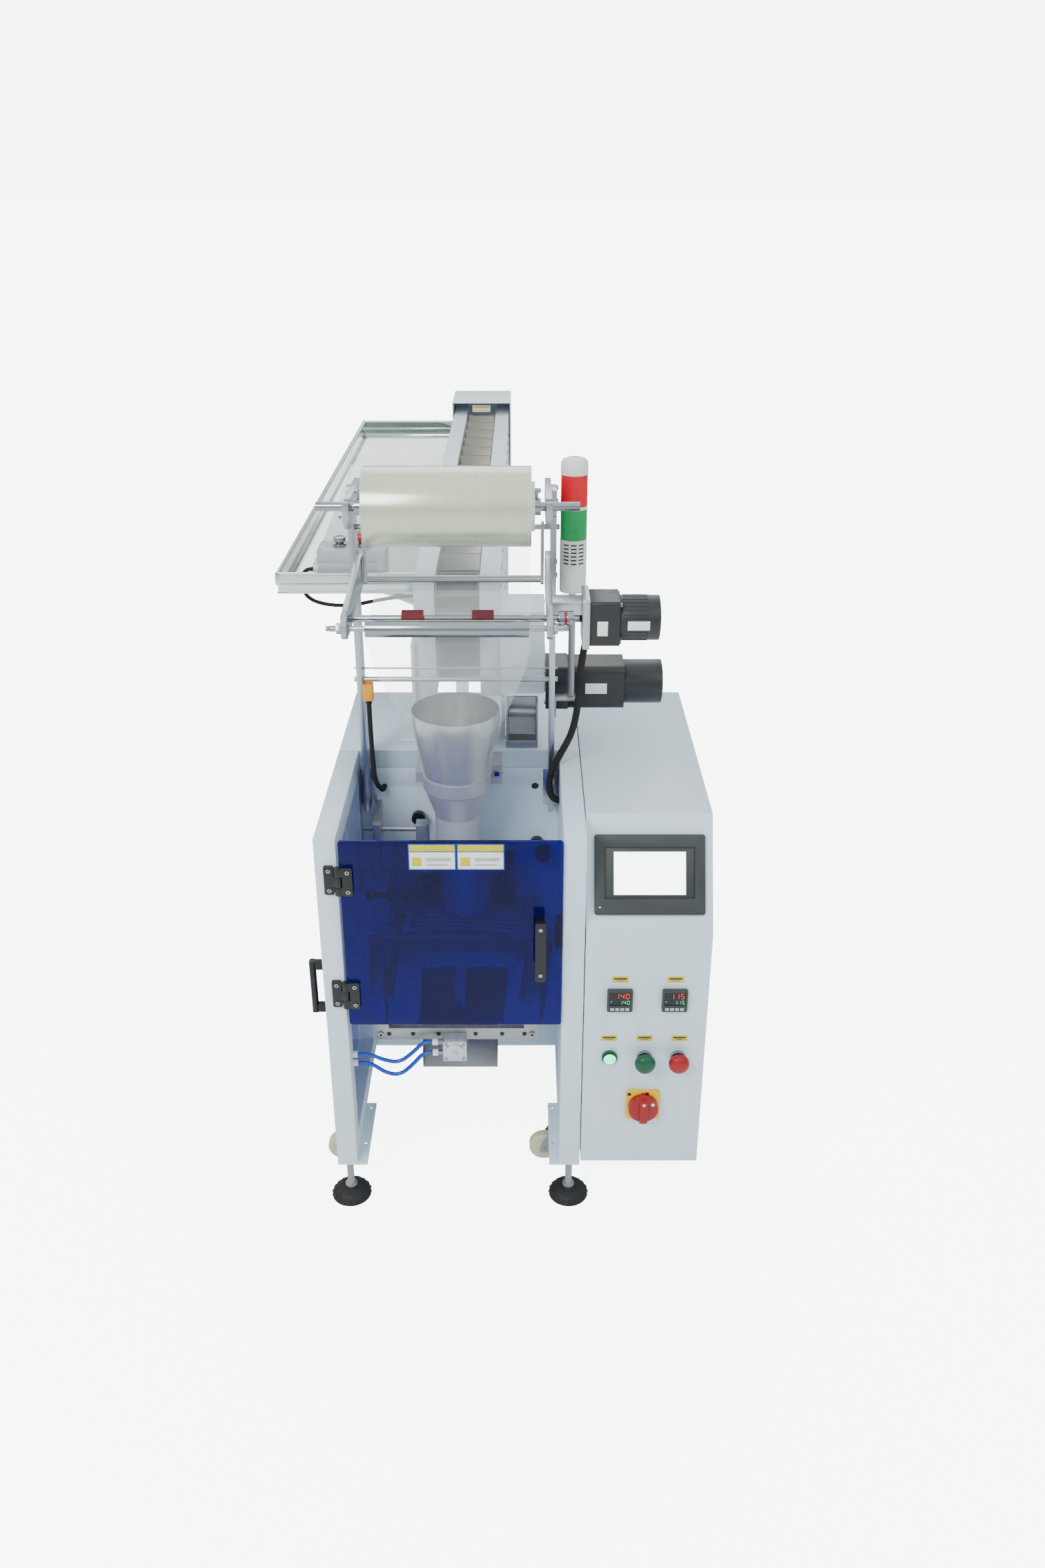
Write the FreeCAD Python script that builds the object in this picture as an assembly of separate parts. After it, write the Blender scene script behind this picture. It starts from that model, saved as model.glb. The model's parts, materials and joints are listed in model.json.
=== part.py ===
import FreeCAD, Part
import math
import os

# Vertical form fill sealer with a chain-bucket feeder, millimetres.
# Working frame: X to the right, Y from the front face towards the back, Z up from the floor.
# Everything is moved at export so that the origin is the bottom centre of the whole machine.

V = FreeCAD.Vector

# ---- driving dimensions: machine body
BODY_LEFT, BODY_RIGHT = -373.0, 115.0
BODY_DEPTH = 696.0
PILLAR_BOTTOM, BODY_TOP = 105.0, 846.0
WALL = 40.0                         # thickness of the hollow side frames
SKIN = 2.0                          # sheet metal
PLATE = 3.0                         # covers
BACK_WALL_Y = 383.0                 # front face of the recess back wall
RECESS_LEFT, RECESS_RIGHT = BODY_LEFT + WALL, BODY_RIGHT - WALL - 1.0
XC = (RECESS_LEFT + RECESS_RIGHT) / 2.0   # centre plane of the film path
CAB_LEFT, CAB_RIGHT, CAB_BOTTOM = 117.0, 351.0, 110.0
SLOPE_START_Z, SLOPE_DEPTH = 646.0, 103.0  # tilted operator panel

# ---- film path
TUBE_Y = 288.0                      # axis of funnel and forming tube
TUBE_R = 45.0
ROLL_Y, ROLL_Z, ROLL_R, FILM_WIDTH = 210.0, 1389.0, 69.0, 290.0
CORE_R, SHAFT_R = 42.5, 8.0
ROLLER_Y, ROLLER_Z, ROLLER_R = 96.0, 1206.0, 15.0
FEED_Y, FEED_Z, FEED_SHAFT_R = 126.0, 1214.0, 6.0
POST_Y0, POST_Y1, POST_Z0, POST_Z1 = 330.0, 380.0, 732.0, 1388.0
DANCER_Y, DANCER_TOP_Z, DANCER_LOW_Z = 350.0, 1316.0, 1216.0

# ---- bucket conveyor
RAIL_WIDTH, RAIL_BOTTOM, RAIL_TOP = 41.0, 945.0, 1185.0
RAIL_FRONT, RAIL_BACK = 430.0, 2391.0
BUCKET_WIDTH, BUCKET_PITCH, BUCKET_DEPTH = 85.0, 120.0, 40.0
HEAD_Y, TAIL_Y, SPROCKET_Z, CHAIN_R = 490.0, 2310.0, 1090.0, 50.0
TRAY_LEFT, TRAY_RIGHT, TRAY_FRONT, TRAY_BACK = -506.0, -216.0, 547.0, 2190.0
TRAY_FLOOR, TRAY_RIM = 1125.0, 1167.0

# ---- fits
RUN = 0.06                          # radial clearance of shafts and pins in their bores

OFFSET = V(77.5, -1188.0, 0.0)      # from the working frame to the bottom-centre origin


# ------------------------------------------------------------------ helpers
def box(x0, x1, y0, y1, z0, z1):
    return Part.makeBox(x1 - x0, y1 - y0, z1 - z0, V(x0, y0, z0))


def cyl_x(x0, x1, y, z, r):
    return Part.makeCylinder(r, x1 - x0, V(x0, y, z), V(1, 0, 0))


def cyl_y(x, y0, y1, z, r):
    return Part.makeCylinder(r, y1 - y0, V(x, y0, z), V(0, 1, 0))


def cyl_z(x, y, z0, z1, r):
    return Part.makeCylinder(r, z1 - z0, V(x, y, z0), V(0, 0, 1))


def fuse(*shapes):
    result = shapes[0]
    for shape in shapes[1:]:
        result = result.fuse(shape)
    return result.removeSplitter()


def cut(shape, *tools):
    for tool in tools:
        shape = shape.cut(tool)
    return shape


def rounded(shape, radius, direction):
    """Round the straight edges of a box that run along one axis."""
    edges = []
    for edge in shape.Edges:
        along = (edge.Vertexes[1].Point - edge.Vertexes[0].Point).normalize()
        if abs(along.dot(direction)) > 0.99:
            edges.append(edge)
    return shape.makeFillet(radius, edges)


def profile_x(x0, x1, outline):
    """Solid from a closed (y, z) outline pulled along X."""
    points = [V(x0, y, z) for y, z in outline]
    wire = Part.makePolygon(points + [points[0]])
    return Part.Face(wire).extrude(V(x1 - x0, 0, 0))


def profile_y(y0, y1, outline):
    """Solid from a closed (x, z) outline pulled along Y."""
    points = [V(x, y0, z) for x, z in outline]
    wire = Part.makePolygon(points + [points[0]])
    return Part.Face(wire).extrude(V(0, y1 - y0, 0))


def turned_z(x, y, outline):
    """Solid of revolution about a vertical axis from (radius, z) points."""
    points = [V(r, 0, z) for r, z in outline]
    wire = Part.makePolygon(points + [points[0]])
    solid = Part.Face(wire).revolve(V(0, 0, 0), V(0, 0, 1), 360)
    solid.translate(V(x, y, 0))
    return solid


def hex_nut(x0, x1, y, z, across, bore):
    """Hexagon nut along X."""
    radius = across / math.sqrt(3.0)
    corners = [math.radians(60 * i) for i in range(6)]
    points = [V(x0, y + radius * math.cos(a), z + radius * math.sin(a)) for a in corners]
    nut = Part.Face(Part.makePolygon(points + [points[0]])).extrude(V(x1 - x0, 0, 0))
    return nut.cut(cyl_x(x0 - 1, x1 + 1, y, z, bore))


def cord_tube(name, points, radius):
    """Round tube along straight runs joined by tangent arcs."""
    edges = []
    previous = V(*points[0])
    smallest = 1e9
    for index in range(1, len(points) - 1):
        before, here, after = (V(*points[i]) for i in (index - 1, index, index + 1))
        into, out = here - before, after - here
        short_run = min(into.Length, out.Length)
        into.normalize()
        out.normalize()
        half_turn = math.acos(max(-1.0, min(1.0, into.dot(out)))) / 2.0
        setback = 0.45 * short_run
        smallest = min(smallest, setback / math.tan(half_turn))
        start, end = here - into * setback, here + out * setback
        bisector = (out - into).normalize()
        bend = setback / math.tan(half_turn)
        centre = here + bisector * (bend / math.cos(half_turn))
        middle = centre - bisector * bend
        edges.append(Part.makeLine(previous, start))
        edges.append(Part.Arc(start, middle, end).toShape())
        previous = end
    edges.append(Part.makeLine(previous, V(*points[-1])))
    path = Part.Wire(edges)
    direction = V(*points[1]) - V(*points[0])
    ring = Part.Wire([Part.Circle(V(*points[0]), direction, radius).toShape()])
    tube = path.makePipeShell([ring], True, False)
    ratio = tube.Volume / (math.pi * radius ** 2 * path.Length)
    print(f"{name}: length {path.Length:.0f}, smallest bend {smallest:.0f}, volume ratio {ratio:.4f}")
    return tube


def mirrored(x):
    """The same place on the other side of the film centre plane."""
    return 2.0 * XC - x


def both_sides(make, x0, x1):
    """One solid at x0..x1 and its mirror image about the film centre plane."""
    return [make(x0, x1), make(mirrored(x1), mirrored(x0))]


# ------------------------------------------------------------------ machine body
def left_side_frame():
    wall = fuse(box(BODY_LEFT, RECESS_LEFT, 0, BACK_WALL_Y, PILLAR_BOTTOM, BODY_TOP),
                box(BODY_LEFT, RECESS_LEFT, BACK_WALL_Y, BODY_DEPTH - PLATE, PILLAR_BOTTOM, BODY_TOP - PLATE))
    window = box(BODY_LEFT - 1, RECESS_LEFT + 1, 45, 350, 150, 800)
    pillar_hollow = box(BODY_LEFT + SKIN, RECESS_LEFT - SKIN, SKIN, 43, PILLAR_BOTTOM - 1, BODY_TOP - SKIN)
    rear_hollow = box(BODY_LEFT + SKIN, RECESS_LEFT - SKIN, 352, BODY_DEPTH, 107, 841)
    return [cut(wall, window, pillar_hollow, rear_hollow)]


def right_side_frame():
    left = RECESS_RIGHT
    wall = fuse(box(left, BODY_RIGHT, 0, BACK_WALL_Y, PILLAR_BOTTOM, BODY_TOP),
                box(left, BODY_RIGHT, BACK_WALL_Y, BODY_DEPTH - PLATE, PILLAR_BOTTOM, BODY_TOP - PLATE))
    hollow = box(left + SKIN, BODY_RIGHT - SKIN, SKIN, BODY_DEPTH, 107, 841)
    conduit_hole = cyl_x(left - 1, left + SKIN + 1, 317, 764, 8)
    return [cut(wall, hollow, conduit_hole)]


def recess_back_wall():
    wall = box(RECESS_LEFT, RECESS_RIGHT, BACK_WALL_Y, BACK_WALL_Y + PLATE, PILLAR_BOTTOM, 805.5)
    holes = [cyl_y(-284.5, BACK_WALL_Y - 1, BACK_WALL_Y + 9, 764, 5.5),
             cyl_y(26, BACK_WALL_Y - 1, BACK_WALL_Y + 9, 764, 7.5)]
    return [cut(wall, *holes)]


def top_plate():
    top = box(BODY_LEFT, BODY_RIGHT, BACK_WALL_Y, BODY_DEPTH, BODY_TOP - PLATE, BODY_TOP)
    flange = box(RECESS_LEFT, RECESS_RIGHT, BACK_WALL_Y, BACK_WALL_Y + PLATE, 806, BODY_TOP - PLATE)
    return [fuse(top, flange)]


def rear_covers():
    y0, y1 = BODY_DEPTH - PLATE, BODY_DEPTH
    body = box(BODY_LEFT, BODY_RIGHT, y0, y1, PILLAR_BOTTOM, BODY_TOP - PLATE)
    cabinet = box(CAB_LEFT + SKIN + 0.5, CAB_RIGHT - SKIN - 0.5, y0, y1, CAB_BOTTOM + 2.5, BODY_TOP - 2.5)
    return [body, cabinet]


FOOT_X = (-353.0, 94.5)
FOOT_Y = (27.0, 669.0)
CASTER_Y, CASTER_WHEEL_R, CASTER_WHEEL_Z = 125.0, 31.5, 43.5
SWIVEL_X = (-350.0, 76.0)
ANCHOR_X = (-323.0, 63.5)            # bolt-down holes, beside the pillars
TRAIL = 30.0                        # wheel centre sits this far left of its swivel axis
KING_PIN_R = 5.0
CASTER_AXLE_R = 4.0


def base_plates():
    solids = []
    for x0, x1, hole_x in ((-373.0, -313.0, ANCHOR_X[0]), (54.0, 115.0, ANCHOR_X[1])):
        for y0, y1, hole_ys in ((0.0, 184.0, (60.0, 170.0)), (512.0, 695.0, (526.0, 636.0))):
            plate = box(x0, x1, y0, y1, 99, PILLAR_BOTTOM)
            for y in hole_ys:
                plate = plate.cut(cyl_z(hole_x, y, 98, 106, 4.5))
            solids.append(plate)
    for x in SWIVEL_X:
        race = fuse(box(x - 22, x + 22, CASTER_Y - 27, CASTER_Y + 27, 96, 99),
                    cyl_z(x, CASTER_Y, 92.4, 96, 18))
        solids.append(race.fuse(cyl_z(x, CASTER_Y, 84, 92.4, KING_PIN_R)).removeSplitter())
    for x in SWIVEL_X:
        top = box(x - 25, x + 25, 545, 597, 96, 99)
        legs = [box(x - 19, x - 16, 556, 586, 36, 96), box(x + 16, x + 19, 556, 586, 36, 96)]
        axle = cyl_x(x - 21, x + 21, 571, CASTER_WHEEL_Z, CASTER_AXLE_R)
        solids.append(fuse(top, *legs, axle))
    return solids


def leveling_feet():
    solids = []
    for x in FOOT_X:
        for y in FOOT_Y:
            cup = turned_z(x, y, [(0, 0), (40, 0), (40, 5), (34, 15), (20, 22), (0, 22)])
            stem = fuse(cyl_z(x, y, 22, 99, 7), cyl_z(x, y, 22, 30, 12), cyl_z(x, y, 88, 99, 12.5))
            solids += [cup, stem]
    return solids


def caster_fork(x):
    disc = cyl_z(x, CASTER_Y, 84.5, 92, 20)
    legs = []
    for y0 in (CASTER_Y - 18, CASTER_Y + 15):
        leg = profile_y(y0, y0 + 3, [(x + 14, 90), (x - 16, 90), (x - TRAIL - 9, 50), (x - TRAIL - 9, 36),
                                     (x - TRAIL + 9, 36), (x + 14, 74)])
        legs.append(leg)
    roof = box(x - 16, x + 14, CASTER_Y - 18, CASTER_Y + 18, 84.5, 90)
    axle = cyl_y(x - TRAIL, CASTER_Y - 20, CASTER_Y + 20, CASTER_WHEEL_Z, CASTER_AXLE_R)
    return [cut(fuse(disc, roof, *legs, axle), cyl_z(x, CASTER_Y, 80, 93, KING_PIN_R + RUN))]


def caster_wheel(x, y, along_y):
    half, rim = 12.5, CASTER_WHEEL_R
    outline = [(CASTER_AXLE_R + RUN, -half - 2), (9, -half - 2), (10, -half + 2), (28, -half + 1),
               (rim, -half + 4), (rim, half - 4), (28, half - 1), (10, half - 2), (9, half + 2),
               (CASTER_AXLE_R + RUN, half + 2)]
    wheel = turned_z(0, 0, outline)
    turn = FreeCAD.Rotation(V(1, 0, 0), 90) if along_y else FreeCAD.Rotation(V(0, 1, 0), 90)
    wheel.Placement = FreeCAD.Placement(V(x, y, CASTER_WHEEL_Z), turn)
    return [wheel]


# ------------------------------------------------------------------ control cabinet
SLOPE_ANGLE = math.degrees(math.atan2(BODY_TOP - SLOPE_START_Z, SLOPE_DEPTH))
HMI_X, HMI_U = 234.0, 111.8         # centre of the screen unit on the slope
LAMP_X, START_X, STOP_X, BUTTON_Z = 168.0, 235.0, 300.0, 370.0
SWITCH_X, SWITCH_Z = 236.0, 258.0
CONTROLLERS = ((183.6, 504.0), (287.0, 504.0))


def on_slope(shape):
    """Place a shape made in (X, up the slope, outward) on the tilted panel."""
    shape.Placement = FreeCAD.Placement(V(0, 0, SLOPE_START_Z), FreeCAD.Rotation(V(1, 0, 0), SLOPE_ANGLE))
    return shape


def control_cabinet():
    outer = [(0, CAB_BOTTOM), (0, SLOPE_START_Z), (SLOPE_DEPTH, BODY_TOP), (BODY_DEPTH, BODY_TOP),
             (BODY_DEPTH, CAB_BOTTOM)]
    inner = [(SKIN, CAB_BOTTOM + SKIN), (SKIN, SLOPE_START_Z - 0.5), (SLOPE_DEPTH + 1, BODY_TOP - SKIN),
             (BODY_DEPTH + 1, BODY_TOP - SKIN), (BODY_DEPTH + 1, CAB_BOTTOM + SKIN)]
    shell = profile_x(CAB_LEFT, CAB_RIGHT, outer).cut(profile_x(CAB_LEFT + SKIN, CAB_RIGHT - SKIN, inner))
    shell = shell.cut(on_slope(box(HMI_X - 96, HMI_X + 96, HMI_U - 68, HMI_U + 68, -15, 5)))
    for x, z in CONTROLLERS:
        shell = shell.cut(box(x - 22.6, x + 22.6, -1, 4, z - 22.6, z + 22.6))
    for x in (LAMP_X, START_X, STOP_X):
        shell = shell.cut(cyl_y(x, -1, 4, BUTTON_Z, 11))
    return [cut(shell, cyl_y(SWITCH_X, -1, 4, SWITCH_Z, 11))]


def electrical_panel():
    solids = [box(344, 347, 130, 650, 180, 800)]
    solids += [box(347, 349, y, y + 20, z, z + 20) for y in (140, 620) for z in (190, 770)]
    for z in (280, 440, 600):
        solids.append(box(336, 344, 150, 630, z, z + 35))
    for row, (z, widths) in enumerate(((280, (90, 110, 70)), (440, (60, 60, 120)), (600, (150, 45, 45, 45)))):
        y = 160.0
        for width in widths:
            depth = 55 + 12 * row
            solids.append(rounded(box(336 - depth, 336, y, y + width, z - 35, z + 70), 3, V(1, 0, 0)))
            y += width + 12
    return solids


def hmi_panel():
    bezel = rounded(box(HMI_X - 102, HMI_X + 102, HMI_U - 74, HMI_U + 74, 0, 7), 5, V(0, 0, 1))
    bezel = bezel.cut(box(HMI_X - 83, HMI_X + 83, HMI_U - 44, HMI_U + 50, 5, 8))
    back = box(HMI_X - 95.8, HMI_X + 95.8, HMI_U - 67.8, HMI_U + 67.8, -38, 0)
    screen = box(HMI_X - 82.8, HMI_X + 82.8, HMI_U - 43.8, HMI_U + 49.8, 5, 5.8)
    return [on_slope(fuse(bezel, back)), on_slope(screen)]


def temperature_controllers():
    solids = []
    for x, z in CONTROLLERS:
        bezel = rounded(box(x - 24, x + 24, -8, 0, z - 24, z + 24), 3, V(0, 1, 0))
        bezel = bezel.cut(box(x - 20, x + 20, -9, -6.5, z - 10, z + 20))
        solids.append(fuse(bezel, box(x - 22.4, x + 22.4, 0, 78, z - 22.4, z + 22.4)))
    return solids


BUTTON_STEM_R = 8.0


def collar(x):
    ring = fuse(cyl_y(x, -8, 0, BUTTON_Z, 15), cyl_y(x, 0, 30, BUTTON_Z, 10.9))
    return ring.cut(cyl_y(x, -9, 31, BUTTON_Z, BUTTON_STEM_R + RUN))


def panel_bezels():
    lamp_ring = fuse(cyl_y(LAMP_X, -6, 0, BUTTON_Z, 15), cyl_y(LAMP_X, 0, 40, BUTTON_Z, 10.9))
    lamp_ring = lamp_ring.cut(cyl_y(LAMP_X, -7, -1, BUTTON_Z, 12))
    lens = Part.makeSphere(16.5, V(LAMP_X, 2.3, BUTTON_Z)).common(cyl_y(LAMP_X, -15, -1, BUTTON_Z, 11.9))
    plate = rounded(box(SWITCH_X - 33, SWITCH_X + 33, -8, 0, SWITCH_Z - 33, SWITCH_Z + 33), 5, V(0, 1, 0))
    plate = fuse(plate, cyl_y(SWITCH_X, 0, 55, SWITCH_Z, 10.9)).cut(cyl_y(SWITCH_X, -9, 6, SWITCH_Z, 5 + RUN))
    return [lamp_ring, lens, collar(START_X), collar(STOP_X), plate]


def mushroom(x):
    head = turned_z(0, 0, [(0, 16), (17, 16), (20, 19), (20, 25), (17, 31), (9, 34.5), (0, 35)])
    head.Placement = FreeCAD.Placement(V(x, 0, BUTTON_Z), FreeCAD.Rotation(V(1, 0, 0), 90))
    return [fuse(head, cyl_y(x, -17, 22, BUTTON_Z, BUTTON_STEM_R))]


def main_switch_handle():
    knob = cyl_y(SWITCH_X, -24, -8.3, SWITCH_Z, 29)
    grip = rounded(box(SWITCH_X - 8, SWITCH_X + 8, -32, -23, SWITCH_Z - 27, SWITCH_Z + 27), 4, V(0, 1, 0))
    return [fuse(knob, grip, cyl_y(SWITCH_X, -9, 5.5, SWITCH_Z, 5))]


# ------------------------------------------------------------------ guards
HINGE_X, HINGE_Y, HINGE_Z = -331.0, -8.0, (519.0, 765.0)
KNUCKLE_R, HINGE_PIN_R = 6.5, 2.5
DOOR_BOTTOM = 450.0
SIDE_HINGE_X, SIDE_HINGE_Y, SIDE_HINGE_Z = -380.0, 352.0, (240.0, 710.0)


def door_hinges():
    solids = []
    for z in HINGE_Z:
        leaf = rounded(box(-357, -339, -6, 0, z - 29, z + 29), 3, V(0, 1, 0))
        bridge = box(-340, HINGE_X, HINGE_Y - 3, -1.6, z - 10, z + 10)
        knuckle = cyl_z(HINGE_X, HINGE_Y, z - 10, z + 10, KNUCKLE_R)
        solids.append(fuse(leaf, bridge, knuckle, cyl_z(HINGE_X, HINGE_Y, z - 28, z + 28, HINGE_PIN_R)))
    catch = rounded(box(60, 74, 1, 22, 617, 678), 3, V(0, 1, 0))
    leaves = [box(-376, BODY_LEFT, 360, 384, z - 25, z + 25) for z in SIDE_HINGE_Z]
    for leaf, z in zip(leaves, SIDE_HINGE_Z):
        bridge = box(SIDE_HINGE_X, -374, SIDE_HINGE_Y, 361, z - 8, z + 8)
        knuckle = cyl_z(SIDE_HINGE_X, SIDE_HINGE_Y, z - 8, z + 8, 5)
        pin = cyl_z(SIDE_HINGE_X, SIDE_HINGE_Y, z - 24, z + 24, 2)
        solids.append(fuse(leaf, bridge, knuckle, pin))
    return solids + [catch]


def guard_door():
    panel = rounded(box(-328, 73, -6, -1, DOOR_BOTTOM, BODY_TOP), 6, V(0, 1, 0))
    solids = []
    for z in HINGE_Z:
        panel = panel.cut(cyl_z(HINGE_X, HINGE_Y, z - 31, z + 31, KNUCKLE_R + 0.8))
        leaf = rounded(box(-323, -305, -12, -6, z - 29, z + 29), 3, V(0, 1, 0))
        for z0, z1 in ((z - 28, z - 10.5), (z + 10.5, z + 28)):
            leaf = leaf.fuse(cyl_z(HINGE_X, HINGE_Y, z0, z1, KNUCKLE_R))
            leaf = leaf.fuse(box(HINGE_X, -322, -12, -6.6, z0, z1))
        leaf = leaf.cut(cyl_z(HINGE_X, HINGE_Y, z - 30, z + 30, HINGE_PIN_R + RUN))
        gap = cyl_z(HINGE_X, HINGE_Y, z - 10.5, z + 10.5, KNUCKLE_R + 0.8)
        solids.append(leaf.cut(gap).removeSplitter())
    bar = rounded(box(23, 43, -40, -30, 570, 696), 4, V(0, 1, 0))
    posts = [box(26, 40, -31, -6, z - 9, z + 9) for z in (584, 682)]
    return [panel] + solids + [fuse(bar, *posts)]


def side_guard():
    panel = box(-372, -367, 48, 346, 153, 797)
    solids = []
    for z in SIDE_HINGE_Z:
        strap = box(-375, -372, 300, 340, z - 25, z + 25)
        for z0, z1 in ((z - 24, z - 8.5), (z + 8.5, z + 24)):
            strap = strap.fuse(box(-379, -375, 338, SIDE_HINGE_Y, z0, z1))
            strap = strap.fuse(box(-376, -375, 330, 340, z0, z1))
            strap = strap.fuse(cyl_z(SIDE_HINGE_X, SIDE_HINGE_Y, z0, z1, 5))
        solids.append(strap.cut(cyl_z(SIDE_HINGE_X, SIDE_HINGE_Y, z - 30, z + 30, 2 + RUN)).removeSplitter())
    handle = fuse(rounded(box(-413, -401, 76, 92, 418, 535), 4, V(0, 0, 1)),
                  box(-404, -372, 78, 90, 418, 436), box(-404, -372, 78, 90, 517, 535))
    return [panel] + solids + [handle]


# ------------------------------------------------------------------ film stand
POST_OUT, POST_IN = -322.0, -311.0  # left post, its twin is mirrored
ARM_IN = -300.0
AXLE_R = 5.0


def film_stand():
    solids = []
    dancer_bore = cyl_x(-330, 75, DANCER_Y, DANCER_TOP_Z, AXLE_R + RUN)
    rods = [cyl_x(-327.5, 68.5, 340, 1017, 5), cyl_x(-327.5, 68.5, 340, 1040, 2)]
    axle = cyl_x(-330, 71, ROLLER_Y, ROLLER_Z, AXLE_R)
    slot = fuse(cyl_x(-330, 75, ROLL_Y, ROLL_Z, SHAFT_R + RUN),
                box(-330, 75, ROLL_Y - SHAFT_R - RUN, ROLL_Y + SHAFT_R + RUN, ROLL_Z, 1410))
    feed_bore = cyl_x(-330, 75, FEED_Y, FEED_Z, FEED_SHAFT_R + RUN)

    def post(x0, x1):
        return cut(box(x0, x1, POST_Y0, POST_Y1, POST_Z0, POST_Z1), dancer_bore, *rods)

    def roll_arm(x0, x1):
        outline = [(380, 1400), (190, 1400), (190, 1368), (205, 1350), (300, 1347), (380, 1347)]
        return cut(profile_x(x0, x1, outline), slot)

    def roller_arm(x0, x1):
        outline = [(380, 1262), (330, 1262), (150, 1238), (100, 1230), (80, 1216), (80, 1196), (92, 1188),
                   (150, 1188), (330, 1204), (380, 1204)]
        return cut(profile_x(x0, x1, outline), axle, feed_bore)

    def bracket(x0, x1):
        return box(x0, x1, POST_Y1, BACK_WALL_Y, 724, 804)

    solids += both_sides(post, POST_OUT, POST_IN)
    solids += both_sides(roll_arm, POST_IN, ARM_IN)
    solids += both_sides(roller_arm, POST_IN, ARM_IN - 1)
    solids += both_sides(bracket, -333, -301)
    solids += rods + [axle]
    solids += [hex_nut(x, x + 9, ROLLER_Y, ROLLER_Z, 17, AXLE_R) for x in (-320, 52)]
    sensor = rounded(box(-311, -291, 322, 344, 978, 1010), 3, V(0, 0, 1))
    solids.append(fuse(sensor, cyl_z(-301, 335, 968, 978, 6)))
    return solids


def film_roll():
    film = cyl_x(XC - FILM_WIDTH / 2, XC + FILM_WIDTH / 2, ROLL_Y, ROLL_Z, ROLL_R)
    return [film.cut(cyl_x(-400, 200, ROLL_Y, ROLL_Z, CORE_R + 0.05))]


def roll_shaft():
    core = cyl_x(XC - FILM_WIDTH / 2, XC + FILM_WIDTH / 2 + 6, ROLL_Y, ROLL_Z, CORE_R)
    core = core.cut(cyl_x(-400, 200, ROLL_Y, ROLL_Z, CORE_R - 4))
    shaft = cyl_x(XC - 229.5, XC + 229.5, ROLL_Y, ROLL_Z, SHAFT_R)
    solids = [core, shaft]
    for x0, x1, side in ((-291, -268, -1), (9, 32, 1)):
        chuck = cyl_x(x0, x1, ROLL_Y, ROLL_Z, 15)
        plug_x = x1 - 4 if side < 0 else x0 - 6
        plug = cyl_x(plug_x, plug_x + 10, ROLL_Y, ROLL_Z, CORE_R - 4.05)
        bolt_x = x0 + 8 if side < 0 else x1 - 8
        bolt = fuse(cyl_z(bolt_x, ROLL_Y, ROLL_Z + 12, ROLL_Z + 28, 3.5),
                    cyl_x(bolt_x - 8, bolt_x + 8, ROLL_Y, ROLL_Z + 28, 4))
        solids.append(fuse(chuck, plug, bolt).cut(shaft))
    return solids


def dancer_frame():
    def arm(x0, x1):
        return rounded(box(x0, x1, 340, 360, DANCER_LOW_Z - 10, DANCER_TOP_Z + 10), 8, V(1, 0, 0))

    arms = both_sides(arm, -299, -293)
    low = cyl_x(-293, mirrored(-293), DANCER_Y, DANCER_LOW_Z, 7)
    top = cyl_x(-328, 69, DANCER_Y, DANCER_TOP_Z, AXLE_R)
    return [fuse(top, low, *arms)]


def front_roller():
    drum = cyl_x(XC - 141, XC + 141, ROLLER_Y, ROLLER_Z, ROLLER_R)
    return [drum.cut(cyl_x(-400, 200, ROLLER_Y, ROLLER_Z, AXLE_R + RUN))]


def feed_roller():
    shaft = cyl_x(-316, 111, FEED_Y, FEED_Z, FEED_SHAFT_R)
    rings = [cyl_x(XC + s * 61 - 19, XC + s * 61 + 19, FEED_Y, FEED_Z, ROLLER_R) for s in (-1, 1)]
    hubs = [cyl_x(62, 73, FEED_Y, FEED_Z, 13), cyl_x(77, 88, FEED_Y, FEED_Z, 13)]
    spider = cyl_x(73, 77, FEED_Y, FEED_Z, 12.4)
    return [shaft] + [piece.cut(shaft) for piece in rings + hubs + [spider]]


def unwind_motor():
    flange = rounded(box(103, 115, FEED_Y - 45, FEED_Y + 45, FEED_Z - 43, FEED_Z + 47), 6, V(1, 0, 0))
    back = box(52, 104, 170, 176, 1192, 1240)
    tab = box(52, 104, 135, 176, 1236, 1241)
    flange = fuse(flange, back, tab)
    gearbox = rounded(box(115, 167, FEED_Y - 40, FEED_Y + 40, FEED_Z - 38, FEED_Z + 42), 6, V(1, 0, 0))
    bore = cyl_x(100, 120, FEED_Y, FEED_Z, 16)
    motor = cyl_x(167, 237, FEED_Y, FEED_Z + 2, 37)
    fins = [cyl_x(172 + 7 * i, 174.5 + 7 * i, FEED_Y, FEED_Z + 2, 39) for i in range(6)]
    terminal = rounded(box(128, 152, 166, 178, 1198, 1222), 3, V(0, 1, 0))
    return [flange.cut(bore), gearbox.cut(bore), fuse(motor, *fins), terminal]


TOWER_X, TOWER_Y = 94.7, 345.0


def tower_light_base():
    foot = fuse(box(63, 104, 332, 358, 974, 980), box(63, 66, 332, 358, 940, 980))
    pole = cyl_z(TOWER_X, TOWER_Y, 980, 1196, 6.5)
    base = cyl_z(TOWER_X, TOWER_Y, 1195, 1296, 25)
    ring = cyl_z(TOWER_X, TOWER_Y, 1352, 1358, 25)
    cap = turned_z(TOWER_X, TOWER_Y, [(0, 1415), (25, 1415), (25, 1436), (21, 1442), (12, 1445), (0, 1445)])
    return [foot, fuse(pole, base), ring, cap]


def tower_light_lenses():
    return [cyl_z(TOWER_X, TOWER_Y, 1296, 1352, 24.5), cyl_z(TOWER_X, TOWER_Y, 1358, 1415, 24.5)]


# ------------------------------------------------------------------ former and sealing unit
RIM_R, RIM_Z, RING_R, RING_TOP, RING_LOW, TUBE_TOP, TUBE_LOW = 86.0, 976.0, 64.0, 843.0, 809.0, 754.0, 520.0
FUNNEL_WALL = 1.5


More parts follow.
